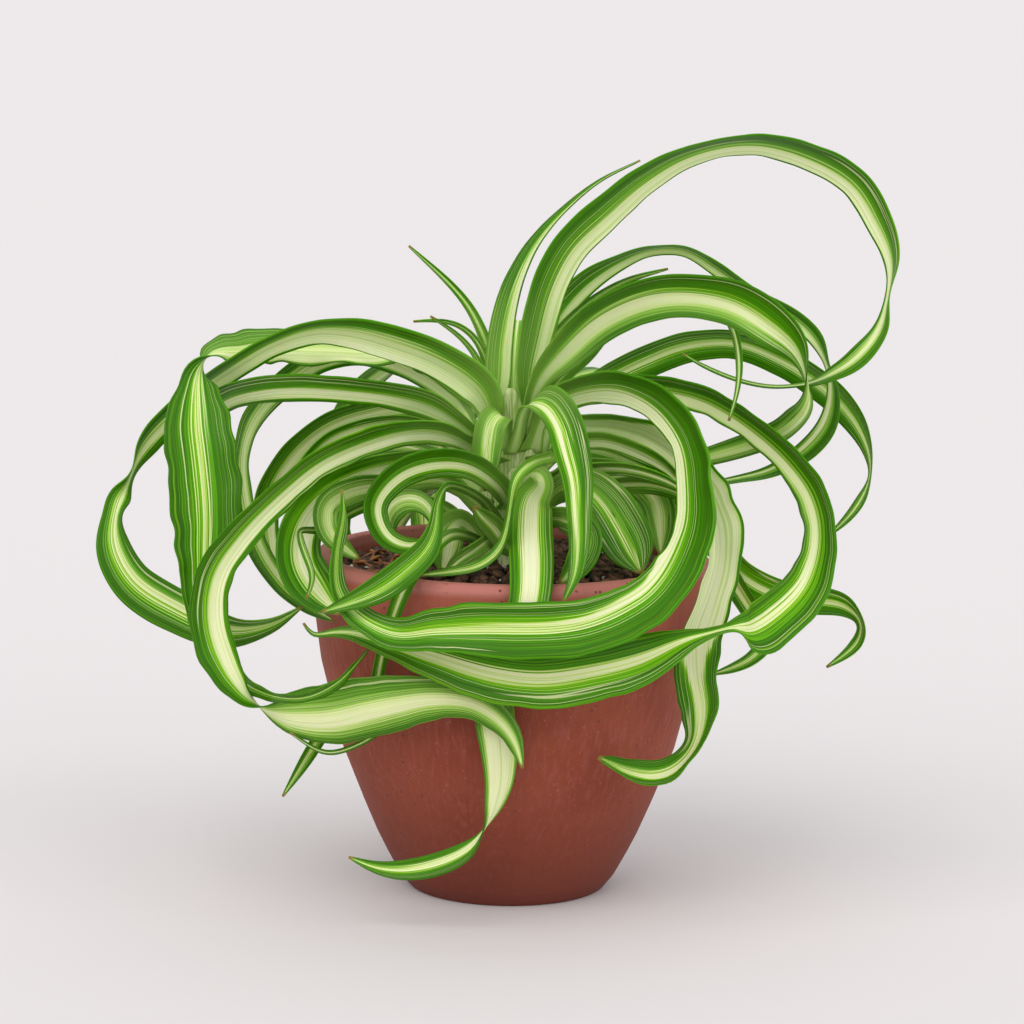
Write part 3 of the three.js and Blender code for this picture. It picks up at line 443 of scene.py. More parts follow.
# For each leaf there are given: the direction that the blade lies across, where it doesn't face the
# front; how far it is folded at its root and tip, in degrees; how far the crease lies off its middle; how
# much of its width the cream takes, both at even steps from root to tip; and its midrib's stations from
# root to tip in millimetres, as (x, y, z, width, turn), where turn is in degrees away from the front.
LEAVES = {
    "big_arch": (None, (22, 8), (0.4, 0.6, 0.6, 0.55, 0.1, 0), (0.12, 0.12, 0.1, 0.1, 0.16, 0.12), [
        (5.7, -3.3, 155, 3, -30), (4.5, -7, 167, 11, -35), (6.5, -6, 180.5, 15, -38),
        (10, -5, 196.5, 16, -40), (16.5, -4, 210, 16, -42), (27.5, -4, 221, 16, -45),
        (40, -5, 232, 15, -52), (55, -6, 240.5, 13, -62), (74, -8, 244.5, 14, -67),
        (91.5, -11, 241.5, 15, -61), (107.5, -14, 233, 14, -54), (116.5, -17, 218.5, 12.5, -54),
        (119.5, -20, 208, 9.5, -66), (118, -22, 197, 6, -84), (116, -22, 186.5, 7, -45),
        (109, -21, 177.5, 8, -35), (100.5, -15, 171, 6, -50), (93, -7, 167, 3.5, -70),
        (82.5, -5, 166, 2.5, -60), (71.5, -3, 168, 2, -50), (61, 0, 172, 1.5, -40),
        (54.5, 2, 175.5, 0.8, -40),
    ]),
    "upright_blade": (None, (15, 15), (0.5, 0.55, 0.4, 0.2), (0.1, 0.06, 0.06, 0.06), [
        (-6.0, -2.8, 155, 3, 15), (-5, -3, 166, 9, 15), (-4.5, -1, 178, 9, 15),
        (-2.5, 2, 190.5, 8, 20), (1.5, 4, 202, 7, 35), (7, 6, 211.5, 5.5, 45), (15, 8, 220.5, 4, 55),
        (26.5, 10, 230, 2.4, 60), (40, 12, 237, 0.8, 60),
    ]),
    "spike_blade": (None, (20, 15), (0, 0, 0), (0.16, 0.16, 0.16), [
        (-3.4, 5.8, 154, 3, 10), (-6.5, 6, 168.5, 4.5, 10), (-9.5, 7, 179, 4, 15),
        (-14.5, 8, 189, 3.3, 20), (-22, 9, 197.5, 2.4, 20), (-34.5, 10, 208.5, 0.8, 20),
    ]),
    "fork_blade_high": (None, (20, 15), (0, 0, 0), (0.16, 0.16, 0.16), [
        (-7.0, 2.5, 153, 3, 20), (-8, 2, 169, 3.5, 30), (-11.5, 1, 178.5, 2.8, 40),
        (-17.5, 0, 184, 2.3, 45), (-24.5, 0, 185.5, 1.6, 50), (-32.5, 0, 185, 0.8, 50),
    ]),
    "fork_blade_low": (None, (20, 15), (0, 0, 0), (0.16, 0.16, 0.16), [
        (-7.7, 0.3, 149, 3, 20), (-9, 0, 166.5, 3, 30), (-13, -1, 175.5, 2.4, 40),
        (-18.5, -2, 181.5, 2, 45), (-27, -2, 187, 0.8, 50),
    ]),
    "rear_arch": (None, (20, 12), (0.45, 0.5, 0.4, 0.2), (0.16, 0.14, 0.12, 0.1), [
        (4.9, 4.9, 154, 3, -20), (6.5, 11, 171, 8, -20), (12.5, 13, 184.5, 9.5, -25),
        (21, 14, 195.5, 10, -35), (31.5, 14, 203, 9.5, -55), (43, 13, 208, 9, -70),
        (55, 12, 208.5, 8.5, -68), (65, 10, 203, 8, -60), (78, 7, 194.5, 7.5, -60),
        (89.5, 4, 188.5, 7, -50), (97.5, 1, 181.5, 6.5, -40), (101.5, -2, 172.5, 5.5, -80),
        (103.5, -2, 163.5, 6, -50), (102, 1, 153, 7.5, -30), (95.5, 7, 143.5, 7.5, -25),
        (85, 12, 136, 5.5, -40), (75, 15, 133, 4, -50), (66, 17, 131, 2.5, -50),
        (58.5, 18, 129.5, 0.8, -50),
    ]),
    "folded_arch": (None, (42, 8), (0.35, 0.3, 0.25, 0.2, 0.1, 0), (0.08, 0.1, 0.1, 0.1, 0.14, 0.14), [
        (3.0, -6.4, 151, 3, -30), (7.5, -11, 167.5, 10, -35), (15.5, -14, 178, 17, -35),
        (27, -16, 189, 20, -38), (41.5, -18, 196, 20, -38), (55.5, -19, 197.5, 18, -33),
        (70, -20, 195, 18, -28), (81, -21, 188.5, 17, -28), (89.5, -20, 180.5, 13, -45),
        (93, -18, 170, 6, -88), (93, -12, 160.5, 9, -140), (87, -4, 152, 8.5, -160),
        (75.5, 7, 145, 8, -165), (61.5, 14, 139.5, 6, -170), (44, 18, 133, 3.5, -170),
        (26.5, 21, 125, 0.8, -170),
    ]),
    "rear_low_arch": (None, (30, 8), (0.15, 0.1, 0), (0.14, 0.14, 0.16), [
        (6.6, 3.8, 150, 3.5, -30), (13.5, 17, 157.5, 9, -35), (27, 21, 163, 12, -35),
        (40, 22, 169.5, 14, -35), (56, 21, 176, 14, -40), (72.5, 19, 177.5, 13, -45),
        (88.5, 15, 172, 13, -45), (101.5, 11, 164, 13, -45), (110.5, 6, 155, 10, -42),
        (115.5, 2, 145, 6, -60), (116, -2, 137, 3, -84), (113.5, -3, 130, 4.5, -50),
        (108.5, -4, 123, 3.5, -45), (103, -5, 118, 1, -45),
    ]),
    "hanging_tip": (None, (15, 10), (0, 0, 0), (0.16, 0.16, 0.16), [
        (6.6, -1.2, 155, 3, -30), (9, 3, 169, 5, -35), (21.5, 4, 181.5, 5, -40),
        (35.5, 4, 191, 5, -45), (51.5, 3, 196, 4.5, -45), (62.5, -3, 194, 4, -40),
        (69.5, -9, 186.5, 2.8, -30), (72, -13, 175.5, 2.5, -20), (71.5, -14, 165.5, 1.6, -10),
        (69, -14, 156, 0.8, -10),
    ]),
    "short_cut_blade": (None, (15, 10), (0, 0, 0), (0.16, 0.16, 0.16), [
        (6.4, 1.7, 155, 3, -40), (10.5, 9, 175.5, 5, -45), (23, 9, 190, 4.5, -50),
        (36.5, 8, 198.5, 3, -50), (49.5, 7, 202.5, 0.8, -50),
    ]),
    "short_green_blade": (None, (20, 10), (0, 0, 0), (0.08, 0.08, 0.08), [
        (6.8, -3.2, 150, 3, -30), (13.5, -4, 165.5, 5, -30), (24, -5, 175.5, 4.5, -35),
        (31.5, -5, 183, 0.8, -35),
    ]),
    "great_loop": (None, (22, 8), (0.4, 0.6, 0.75, 0.75, 0.35, 0.05, 0, 0, 0),
                   (0.22, 0.1, -0.08, -0.1, -0.02, 0.06, 0.09, 0.1, 0.1), [
        (5.4, -6.0, 144, 3.5, -35), (11, -11, 159.5, 9, -40), (21.5, -14, 166, 15, -50),
        (34.5, -18, 167.5, 17, -52), (47, -23, 162.5, 17, -50), (55.5, -30, 152, 17, -50),
        (58, -38, 139, 17, -48), (57.5, -48, 126, 17, -42), (51, -60, 114.5, 17, -35),
        (40, -72, 106, 17, -20), (26, -80, 101.5, 17.5, -8), (9, -84, 100.5, 17.5, -5),
        (-7.5, -84, 100.5, 17, -5), (-23, -79, 99, 14, -18), (-35, -73, 96.5, 11, -25),
        (-46, -66, 100, 9, -35), (-53.5, -60, 107.5, 7, -45), (-54, -56, 119.5, 5, -45),
        (-52, -54, 130, 3, -40), (-52.5, -53, 138, 0.8, -40),
    ]),
    "outer_loop": (None, (20, 8), (0.35, 0.45, 0.45, 0.3, 0.1, 0, 0, 0, 0),
                   (0.14, 0.1, 0.08, 0.1, 0.12, 0.12, 0.16, 0.16, 0.12), [
        (8.0, -2.1, 143, 3, -35), (15, 3, 159, 10, -40), (31.5, 3, 164, 12, -45),
        (47.5, 1, 164.5, 13, -50), (62, -1, 161.5, 14, -52), (76.5, -4, 153.5, 14, -52),
        (88.5, -9, 143.5, 14, -52), (96.5, -17, 132.5, 15, -52), (98.5, -27, 120, 16, -52),
        (94, -38, 107.5, 17, -35), (83.5, -50, 99, 17, -15), (75, -58, 95.5, 16, -10),
        (70, -62, 98, 7.5, -68), (63.5, -65, 97, 5.5, -66), (54, -69, 95, 10, -46),
        (40, -73, 89, 17, -20), (24.5, -76, 85.5, 18, -12), (9.5, -77, 83.5, 18, -8),
        (-6, -76, 85, 17, -6), (-21.5, -71, 88.5, 14, -6), (-35.5, -65, 91.5, 10, -15),
        (-48, -57, 93.5, 6, -30), (-56.5, -54, 93, 3, -40), (-61.5, -53, 91.5, 2, -60),
        (-64.5, -52, 95.5, 0.8, -60),
    ]),
    "wide_drop": (None, (18, 6), (0.3, 0.4, 0.6, 0.6, 0.6, 0.5, 0, -0.2, 0),
                  (0.5, 0.6, 0.85, 0.9, 0.9, 0.85, 0.25, 0.2, 0.12), [
        (8.4, 1.5, 142, 3.5, -30), (14, 8, 149.5, 9, -35), (27, 13, 151, 10, -40),
        (41.5, 10, 149.5, 12, -45), (52.5, 2, 145, 13, -40), (62, -12, 136.5, 13, -30),
        (67.5, -24, 125.5, 12, -20), (68, -34, 114.5, 11, -15), (64.5, -42, 103, 11, -12),
        (60, -49, 91.5, 13, -10), (58.5, -52, 79, 14, -10), (60, -53, 70, 13, -15),
        (58.5, -54, 60, 8.5, -50), (54, -55, 53.5, 8.5, -55), (46.5, -56, 50, 9, -28),
        (37, -56, 51, 6.5, -20), (28, -56, 55, 0.8, -20),
    ]),
    "right_tail": (None, (15, 8), (0, 0, 0), (0.2, 0.2, 0.16), [
        (6.9, 4.8, 138, 3, -20), (19.5, 18, 142, 7, -30), (39, 30, 136, 8, -35), (59, 26, 124, 9, -30),
        (73.5, 8, 104, 10, -20), (86.5, 2, 97, 11, -15), (99, -2, 96, 10, -15),
        (108.5, -5, 95, 8, -25), (114, -8, 90, 5, -75), (113, -10, 84, 5, -40),
        (108, -12, 79.5, 3, -30), (102.5, -13, 76, 0.8, -30),
    ]),
    "small_right_tail": (None, (12, 8), (0, 0, 0), (0.2, 0.2, 0.16), [
        (5.9, 7.0, 122, 3, -20), (21, 20, 128, 5, -30), (42.5, 28, 123, 6, -30),
        (59.5, 20, 119.5, 6, -30), (74.5, 4, 97.5, 7, -15), (83, -6, 83.5, 6, -20),
        (78.5, -13, 78.5, 5, -30), (72, -17, 76, 3.5, -30), (65, -20, 74.5, 0.8, -30),
    ]),
    "right_inner_high": (None, (22, 10), (0.3, 0.35, 0.3, 0.2), (0.34, 0.3, 0.26, 0.2), [
        (8.6, -1.5, 136, 3, -30), (16, -4, 145.5, 7, -40), (28, -7, 148.5, 8, -45),
        (39, -8, 145.5, 8, -45), (49.5, -9, 140, 6, -45), (55.5, -7, 133, 0.8, -40),
    ]),
    "right_inner_mid": (None, (22, 10), (0.1, 0.1, 0), (0.12, 0.12, 0.08), [
        (9.4, 0.3, 124, 3, -20), (15.5, 0, 129.5, 7, -40), (28.5, 2, 131.5, 8, -45),
        (43.5, 4, 132.5, 8, -45), (55, 6, 129, 5, -40), (61, 8, 124.5, 0.8, -40),
    ]),
    "right_inner_low": (None, (22, 10), (0.1, 0.1, 0), (0.16, 0.16, 0.16), [
        (8.4, -3.4, 131, 3, -20), (15.5, -9, 137, 6, -40), (28, -13, 140, 7, -50),
        (38.5, -15, 140, 6, -50), (50, -16, 136.5, 4, -40), (56.5, -17, 132.5, 0.8, -40),
    ]),
    "broad_droop": (None, (14, 8), (0, 0, 0), (0.06, 0.04, 0.03), [
        (8.1, -4.6, 120, 3, 0), (14, -11, 132, 8, -10), (22, -17, 135, 13, 0),
        (29, -22, 130.5, 17, 10), (35, -26, 122, 18, 10), (39, -28, 114.5, 15, 10),
        (41.5, -29, 108.5, 0.8, 10),
    ]),
    "olive_droop": (None, (14, 8), (0, 0, 0), (0.2, 0.2, 0.16), [
        (8.4, 3.4, 130, 3, -20), (20.5, 12, 135.5, 9, -30), (37, 15, 133, 12, -30),
        (47, 13, 126.5, 13, -20), (49, 11, 117, 10, -10), (49, 9, 108, 0.8, -10),
    ]),
    "front_arch": ((-0.95, -0.3, 0), (18, 8), (0.3, 0.3, 0.2, 0), (0.05, 0.01, 0.01, 0.02), [
        (1.1, -8.0, 144, 3, -20), (5, -17, 161.5, 9, -35), (11, -23, 163, 12, -42),
        (16, -30, 157.5, 12, -25), (18.5, -38, 149.5, 12, -15), (20.5, -46, 141, 10, -12),
        (21, -55, 131.5, 8, -10), (21, -63, 122, 6.5, -5), (19.5, -69, 114, 4, 0),
        (16, -71, 106.5, 0.8, 0),
    ]),
    "front_arch_left": ((-0.95, 0.3, 0), (18, 8), (-0.1, 0, 0), (0.24, 0.2, 0.16), [
        (-3.2, -6.9, 145, 3, 20), (-3, -15, 157.5, 8, 30), (-6.5, -20, 156, 10, 30),
        (-8, -22, 148, 10, 20), (-8.5, -23, 140.5, 8, 10), (-8.5, -23, 133.5, 0.8, 5),
    ]),
    "upper_left_arch": (None, (20, 8), (-0.55, -0.6, -0.35, -0.1, -0.1, 0),
                        (0.22, 0.42, 0.4, 0.16, 0.12, 0.1), [
        (-5.6, -5.0, 150, 3.5, 30), (-9, -10, 163.5, 14, 30), (-16.5, -11, 170.5, 16, 38),
        (-26.5, -12, 176, 16, 42), (-38, -13, 180, 16, 45), (-50.5, -14, 183, 15, 50),
        (-63.5, -13, 183, 13, 55), (-76.5, -11, 178.5, 11, 52), (-88.5, -8, 171, 11, 50),
        (-101.5, 3, 161, 11, 50), (-113, 7, 150.5, 12, 50), (-120.5, 4, 141.5, 11, 58),
        (-124, -1, 132.5, 6, 84), (-128, -6, 124, 9, -40), (-128.5, -10, 112.5, 13, -25),
        (-121.5, -15, 101, 15, -20), (-107.5, -21, 93.5, 15, -15), (-91, -27, 88, 12, -20),
        (-76, -35, 91.5, 6, -40), (-65.5, -40, 98.5, 0.8, -40),
    ]),
    "tall_drop": (None, (18, 6), (0, 0.5, 0.05, 0.1, 0), (0.15, 0.05, 0.03, 0.04, 0.06), [
        (-6.7, 3.6, 150, 3.5, 30), (-14, 12, 161, 9, 30), (-27.5, 13, 170.5, 12, 40),
        (-43.5, 14, 174, 14, 140), (-61.5, 13, 175.5, 14, 150), (-79.5, 9, 176, 14, 155),
        (-88.5, 2, 175, 14, 150), (-95, -5, 175, 12, 145), (-99, -11, 172.5, 7, 95),
        (-100, -18, 167.5, 11, 25), (-100, -23, 161.5, 17, 5), (-99.5, -28, 154, 22, 0),
        (-97.5, -32, 140.5, 23, -5), (-96, -35, 126.5, 22, -5), (-96, -37, 112.5, 19, -5),
        (-96, -39, 100, 15, -10), (-93.5, -41, 87.5, 11, -15), (-85.5, -46, 77, 7, -45),
        (-74.5, -57, 73.5, 5, -60), (-63.5, -61, 73.5, 4.5, -50), (-53.5, -62, 78.5, 3.5, -50),
        (-47.5, -57, 84, 2.5, -50), (-44, -53, 88, 0.8, -50),
    ]),
    "left_strap": (None, (18, 8), (-0.3, -0.4, -0.35, -0.2), (0.2, 0.12, 0.12, 0.12), [
        (-7.3, -3.4, 145, 3, 40), (-16.5, -11, 153.5, 8, 45), (-26.5, -14, 160, 14, 50),
        (-41, -18, 164, 13, 50), (-55, -20, 165.5, 13, 50), (-68, -20, 166, 13, 50),
        (-80.5, -16, 164.5, 13, 50), (-92.5, -7, 160, 12, 50), (-102.5, 4, 150, 9, 50),
        (-106.5, 9, 139.5, 6, 45), (-105.5, 10, 127.5, 0.8, 40),
    ]),
    "rear_left_strap": (None, (18, 8), (-0.3, -0.35, -0.3, -0.2), (0.35, 0.26, 0.22, 0.15), [
        (-8.3, 0.7, 143, 3, 30), (-19, 19, 157.5, 8, 40), (-34.5, 29, 166.5, 11, 50),
        (-49.5, 33, 171, 12, 50), (-64, 31, 169, 12, 50), (-77, 25, 160.5, 12, 50),
        (-85.5, 16, 151, 10, 50), (-88.5, 6, 140, 8, 55), (-87, -4, 126.5, 8, 40),
        (-82, -14, 113.5, 8, 35), (-73.5, -26, 103.5, 7, 30), (-64, -33, 97, 5, 30),
        (-55.5, -43, 94.5, 0.8, 30),
    ]),
    "nested_loop": (None, (18, 8), (-0.3, -0.4, -0.35, -0.2), (0.34, 0.3, 0.25, 0.15), [
        (-8.4, -1.5, 139, 3, 40), (-18.5, -2, 150, 7, 45), (-31.5, 1, 157.5, 10, 50),
        (-46.5, 6, 155.5, 11, 50), (-61.5, 10, 149.5, 11, 48), (-73, 12, 139, 11, 45),
        (-80, 11, 126, 10, 35), (-80, 6, 112, 9, 25), (-75, -4, 102, 7, 20),
        (-68.5, -14, 96.5, 0.8, 20),
    ]),
    "nested_loop_inner": (None, (18, 8), (-0.3, -0.35, -0.3, 0), (0.4, 0.36, 0.3, 0.15), [
        (-7.9, -3.7, 136, 3, 40), (-18.5, -11, 146.5, 7, 45), (-31.5, -14, 154, 7, 50),
        (-45.5, -16, 153.5, 7, 50), (-58.5, -16, 148.5, 7, 48), (-67, -15, 139, 6, 45),
        (-70.5, -11, 126.5, 5, 35), (-69, -9, 114.5, 0.8, 30),
    ]),
    "big_front_loop": (None, (18, 8), (-0.35, -0.4, -0.35, -0.35, -0.1, 0),
                       (0.24, 0.2, 0.16, 0.24, 0.18, 0.12), [
        (-4.3, -6.9, 140, 3, 40), (-20, -22, 151.5, 10, 45), (-32.5, -29, 153.5, 12, 48),
        (-46.5, -36, 150.5, 13, 50), (-60, -43, 145, 13, 48), (-72, -48, 135.5, 13, 45),
        (-83.5, -52, 124, 13, 40), (-92, -54, 111.5, 13, 30), (-94, -55, 98.5, 13, 25),
        (-91, -55, 85.5, 13, 20), (-84.5, -55, 74.5, 9, 40), (-78.5, -52, 69, 6, 85),
        (-70, -50, 66.5, 13, 160), (-56, -54, 67, 20, 170), (-40, -61, 71.5, 19, 175),
        (-24.5, -67, 75.5, 14, 172), (-11.5, -70, 75, 11, 168), (-2.5, -71, 69.5, 9, 165),
        (2.5, -71, 62, 5, 165), (4.5, -71, 54.5, 0.8, 165),
    ]),
    "curl_leaf": (None, (20, 8), (-0.2, -0.2, -0.22, -0.22, -0.1, 0),
                  (0.08, 0.05, 0.05, 0.05, 0.12, 0.12), [
        (-1.8, -8.6, 124, 3.5, 0), (-1, -19, 129.5, 7, 20), (-4, -29, 136.5, 9.5, 35),
        (-13.5, -36, 144, 11.5, 40), (-26, -40, 145, 12.5, 42), (-36.5, -43, 141, 12, 42),
        (-43, -46, 132, 10.5, 45), (-39.5, -49, 122.5, 9, 45), (-31.5, -51, 119.5, 8, 50),
        (-26, -50, 122.5, 8.5, 78), (-25, -45, 127, 11.5, 112), (-27.5, -41, 131.5, 13, 126),
        (-32.5, -39, 133, 13.5, 132), (-37.5, -38, 130.5, 12.5, 132), (-39.5, -37, 125.5, 10, 128),
        (-38, -36, 120, 5, 124), (-35, -36, 117.5, 0.8, 120),
    ]),
    "curl_tail": (None, (14, 8), (0, 0, 0), (0.08, 0.05, 0.08), [
        (-4.5, -7.8, 120, 3, 30), (-8, -19, 129, 4, 40), (-15, -31, 135.5, 4, 50),
        (-20.5, -43, 138, 4, 60), (-23, -52, 134, 4.5, 50), (-23.5, -57, 127.5, 6, 40),
        (-25.5, -61, 121.5, 8, 20), (-31, -64, 116, 9, 5), (-40, -67, 109.5, 9, 0),
        (-50, -68, 105, 5, 0), (-58, -67, 102, 0.8, 0),
    ]),
    "fold_drop": (None, (10, 6), (0, 0.05, 0.05, 0.1, 0.1, 0.1, 0),
                  (0.2, 0.4, 0.42, 0.5, 0.75, 0.22, 0.14), [
        (0.3, -8.3, 132, 3.5, 10), (7.5, -14, 138, 8, 15), (9.5, -20, 135.5, 9, 30),
        (6.5, -33, 131.5, 13, 5), (6, -43, 124.5, 14, 0), (6.5, -58, 116, 14, 0), (6, -68, 107, 13, 0),
        (3, -68, 94.5, 12, 20), (-0.5, -67, 81.5, 12, 95), (-4.5, -66, 72.5, 12.5, 170),
        (-3, -65, 60.5, 12, 186), (-2.5, -63, 49, 9.5, 192), (-4.5, -62, 39, 6, 210),
        (-7, -62, 33, 3, 265), (-11.5, -62, 26.5, 6, 330), (-21, -62, 21.5, 7.5, 345),
        (-32, -61, 19, 6.5, 350), (-41, -60, 19.5, 4, 350), (-49.5, -59, 22.5, 0.8, 350),
    ]),
    "thin_curl": (None, (15, 10), (0, 0, 0), (0.2, 0.16, 0.16), [
        (4.7, -6.7, 141, 3, 0), (13, -21, 144.5, 4, -10), (6, -33, 144, 4, -20),
        (1.5, -39, 140.5, 4, -30), (0, -44, 134, 4, -60), (-1, -49, 127.5, 4, -60),
        (-3.5, -51, 119.5, 4, -40), (-10, -52, 114.5, 3.6, -20), (-19, -52, 112.5, 3, -10),
        (-28.5, -51, 111, 0.8, -10),
    ]),
    "low_front_left": (None, (15, 8), (0.1, 0.1, 0), (0.14, 0.12, 0.12), [
        (-1.2, -8.7, 115, 3, 10), (-5.5, -22, 118.5, 4, 20), (-11.5, -31, 115.5, 6, 30),
        (-17.5, -37, 112.5, 5, 10), (-21, -40, 109, 0.8, 0),
    ]),
    "left_hanger": (None, (12, 8), (-0.2, -0.2, 0), (0.4, 0.48, 0.24), [
        (-9.0, -1.3, 131, 3, 30), (-22, 0, 139.5, 8, 35), (-41, -4, 138, 11, 35),
        (-57, -12, 132, 13, 30), (-66, -25, 123, 14, 20), (-67, -36, 113, 15, 15),
        (-60.5, -47, 104.5, 14, 10), (-53, -52, 98.5, 0.8, 0),
    ]),
    "cup_leaf": (None, (15, 8), (0, 0, 0), (0.24, 0.24, 0.16), [
        (-8.2, -4.4, 125, 3, 30), (-23, -12, 135.5, 8, 40), (-39, -20, 134.5, 10, 40),
        (-50.5, -28, 133.5, 12, 35), (-58, -35, 129.5, 11, 30), (-57.5, -37, 122, 8.5, 20),
        (-52.5, -38, 117, 5.5, 10), (-47.5, -38, 113.5, 0.8, 10),
    ]),
    "left_back_tail": (None, (12, 8), (0, 0, 0), (0.2, 0.2, 0.16), [
        (-6.9, 4.8, 138, 3, 20), (-19, 22, 136.5, 5, 20), (-39.5, 46, 138, 6, 20),
        (-54.5, 62, 127.5, 7, 20), (-59, 66, 102.5, 7, 20), (-56.5, 56, 76.5, 7, 15),
        (-55.5, 30, 57.5, 7, 10), (-62, 12, 46, 5, 0), (-67.5, 4, 37.5, 4, 0), (-74, 0, 27.5, 0.8, 0),
    ]),
    "low_left_curl": (None, (12, 8), (0, 0, 0), (0.24, 0.24, 0.24), [
        (-5.6, -7.2, 113, 3, 20), (-18.5, -32, 121, 4, 15), (-27, -50, 115.5, 4, 10),
        (-33, -62, 108.5, 5, 10), (-39, -55, 89.5, 4, 10), (-41.5, -50, 74, 4, 10),
        (-40, -47, 61.5, 3.6, 60), (-48, -49, 56, 3, 60), (-57.5, -51, 54, 2.4, 50),
        (-68.5, -52, 60.5, 0.8, 50),
    ]),
    "dry_tip_blade": (None, (12, 8), (0, 0, 0), (0.12, 0.12, 0.08), [
        (-9.4, 0.0, 114, 3, 30), (-23, -2, 125.5, 5, 30), (-45.5, -10, 126.5, 4, 30),
        (-60, -26, 121, 3, 30), (-66.5, -40, 122.5, 2.4, 50), (-64.5, -47, 117, 2.4, 20),
        (-61.5, -52, 110, 2, 10), (-63.5, -54, 103.5, 0.8, 10),
    ]),
    "back_arch_mid": ((1, 0, 0), (18, 8), (0, 0, 0), (0.08, 0.1, 0.14), [
        (0.0, 6.7, 152, 3, 0), (0.5, 24, 170, 11, 0), (1.5, 45, 181, 14, 0), (2.5, 72, 175, 15, 0),
        (4.5, 92, 155.5, 14, 0), (6, 100, 129.5, 11, 0), (6, 98, 105, 6, 0), (3, 94, 91.5, 0.8, 0),
    ]),
    "back_arch_left": ((0.8, 0.6, 0), (18, 8), (0, 0, 0), (0.3, 0.3, 0.2), [
        (-4.4, 6.3, 146, 3, 0), (-14.5, 30, 161, 10, 0), (-28, 50, 167, 13, 0),
        (-45.5, 68, 159.5, 14, 0), (-58, 80, 142, 13, 0), (-61.5, 86, 120, 10, 0), (-58, 86, 99, 6, 0),
        (-51, 82, 89, 0.8, 0),
    ]),
    "back_arch_right": ((0.8, -0.6, 0), (18, 8), (0, 0, 0), (0.3, 0.3, 0.2), [
        (3.2, 6.9, 146, 3, 0), (14, 28, 158.5, 10, 0), (29, 48, 164, 13, 0), (45, 66, 156.5, 14, 0),
        (57.5, 78, 140.5, 13, 0), (62.5, 84, 118.5, 10, 0), (61.5, 84, 99.5, 6, 0),
        (55.5, 80, 89.5, 0.8, 0),
    ]),
    "back_loop": ((1, 0.2, 0), (18, 8), (0, 0, 0), (0.3, 0.3, 0.2), [
        (-1.4, 7.8, 138, 3, 0), (-4.5, 28, 150.5, 9, 0), (-11, 50, 152, 12, 0),
        (-21.5, 72, 140, 13, 0), (-28.5, 84, 121, 13, 0), (-28.5, 86, 99.5, 12, 0),
        (-23, 84, 78.5, 11, 0), (-14, 80, 61.5, 9, 0), (-3, 78, 51.5, 5, 0), (4, 77, 48.5, 0.8, 0),
    ]),
    "back_low_left": ((0.8, 0.6, 0), (15, 8), (0, 0, 0), (0.3, 0.3, 0.2), [
        (-7.1, 5.9, 122, 3, 0), (-14, 30, 129, 9, 0), (-27.5, 46, 123, 10, 0), (-38, 60, 110.5, 9, 0),
        (-42, 72, 96.5, 0.8, 0),
    ]),
    "back_low_right": ((0.8, -0.6, 0), (15, 8), (0, 0, 0), (0.3, 0.3, 0.2), [
        (2.3, 8.5, 122, 3, 0), (16, 28, 130.5, 9, 0), (29.5, 42, 124.5, 10, 0), (41, 56, 114, 9, 0),
        (46, 66, 102, 0.8, 0),
    ]),
    "inner_cross": (None, (16, 6), (0, 0, 0), (0.24, 0.24, 0.16), [
        (2.4, -8.5, 112, 3, 10), (-1.5, -27, 117, 7.5, 20), (-5, -29, 122.5, 8.5, 25),
        (-9.5, -30, 126.5, 7, 25), (-12, -31, 130, 0.8, 25),
    ]),
    "stub_left": (None, (16, 6), (-0.2, -0.2, -0.2), (0.24, 0.24, 0.24), [
        (-7.8, -5.1, 111, 3, 10), (-14, -7, 121, 6, 20), (-18, -11, 122, 9, 15),
        (-20.5, -15, 118.5, 11, 5), (-21.5, -20, 113, 11, 0), (-22, -24, 107, 0.8, 0),
    ]),
    "right_low_blade": (None, (16, 6), (0, 0, 0), (0.12, 0.12, 0.12), [
        (5.1, -7.5, 112, 3, -10), (11.5, -20, 124, 7, -30), (18.5, -31, 125.5, 9, -20),
        (24, -37, 122, 10, 0), (22, -41, 115, 10, 15), (18.5, -43, 110.5, 7, 20),
        (15, -45, 108, 0.8, 20),
    ]),
}

FRONT = Vector((0, -1, 0.16))
LEAF_THICKNESS = 0.4
COLUMNS = 18
ROW_STEP = 1.4
FEWEST_ROWS = 24
SMOOTHING = 6
THINNEST = 0.3
SHEATHED_WIDTH = 8.5
SHEATH_WIDTH = 9
SHEATH_REACH = 26
GROOVE_SOFTNESS = 0.002
GROOVE_DEPTH = 0.5
DRY_TIP = 6
PALE_FOOT = 45
WAVES_PER_MM = 0.11
FULL_WAVE_WIDTH = 10
EDGE_WAVE = 0.7
EDGE_WAVE_RATE = 1.4
WAVE_PHASES = 50
PLAIN_MARGIN = 0.5
WAVY_MARGINS = {
    "tall_drop": 2.0, "wide_drop": 1.6, "big_front_loop": 1.0, "great_loop": 1.0, "outer_loop": 1.0}
NARROW_HALF_CREAM = 1.5
MOST_CREAM = 0.9
SEEN_FROM_BELOW = ("cup_leaf", "olive_droop")
# which half of the blade is folded over and shows its underside, and how far along the leaf
FOLDED_OVER = {"folded_arch": (1, 0.5), "outer_loop": (1, 0.42)}
FOLD_ENDS_OVER = 0.08
MIDRIB_HALF_WIDTH = 0.05
# what each point of a leaf knows of itself, for the colours
LEAF_MARKS = ("tip", "base", "tone", "cream", "under")


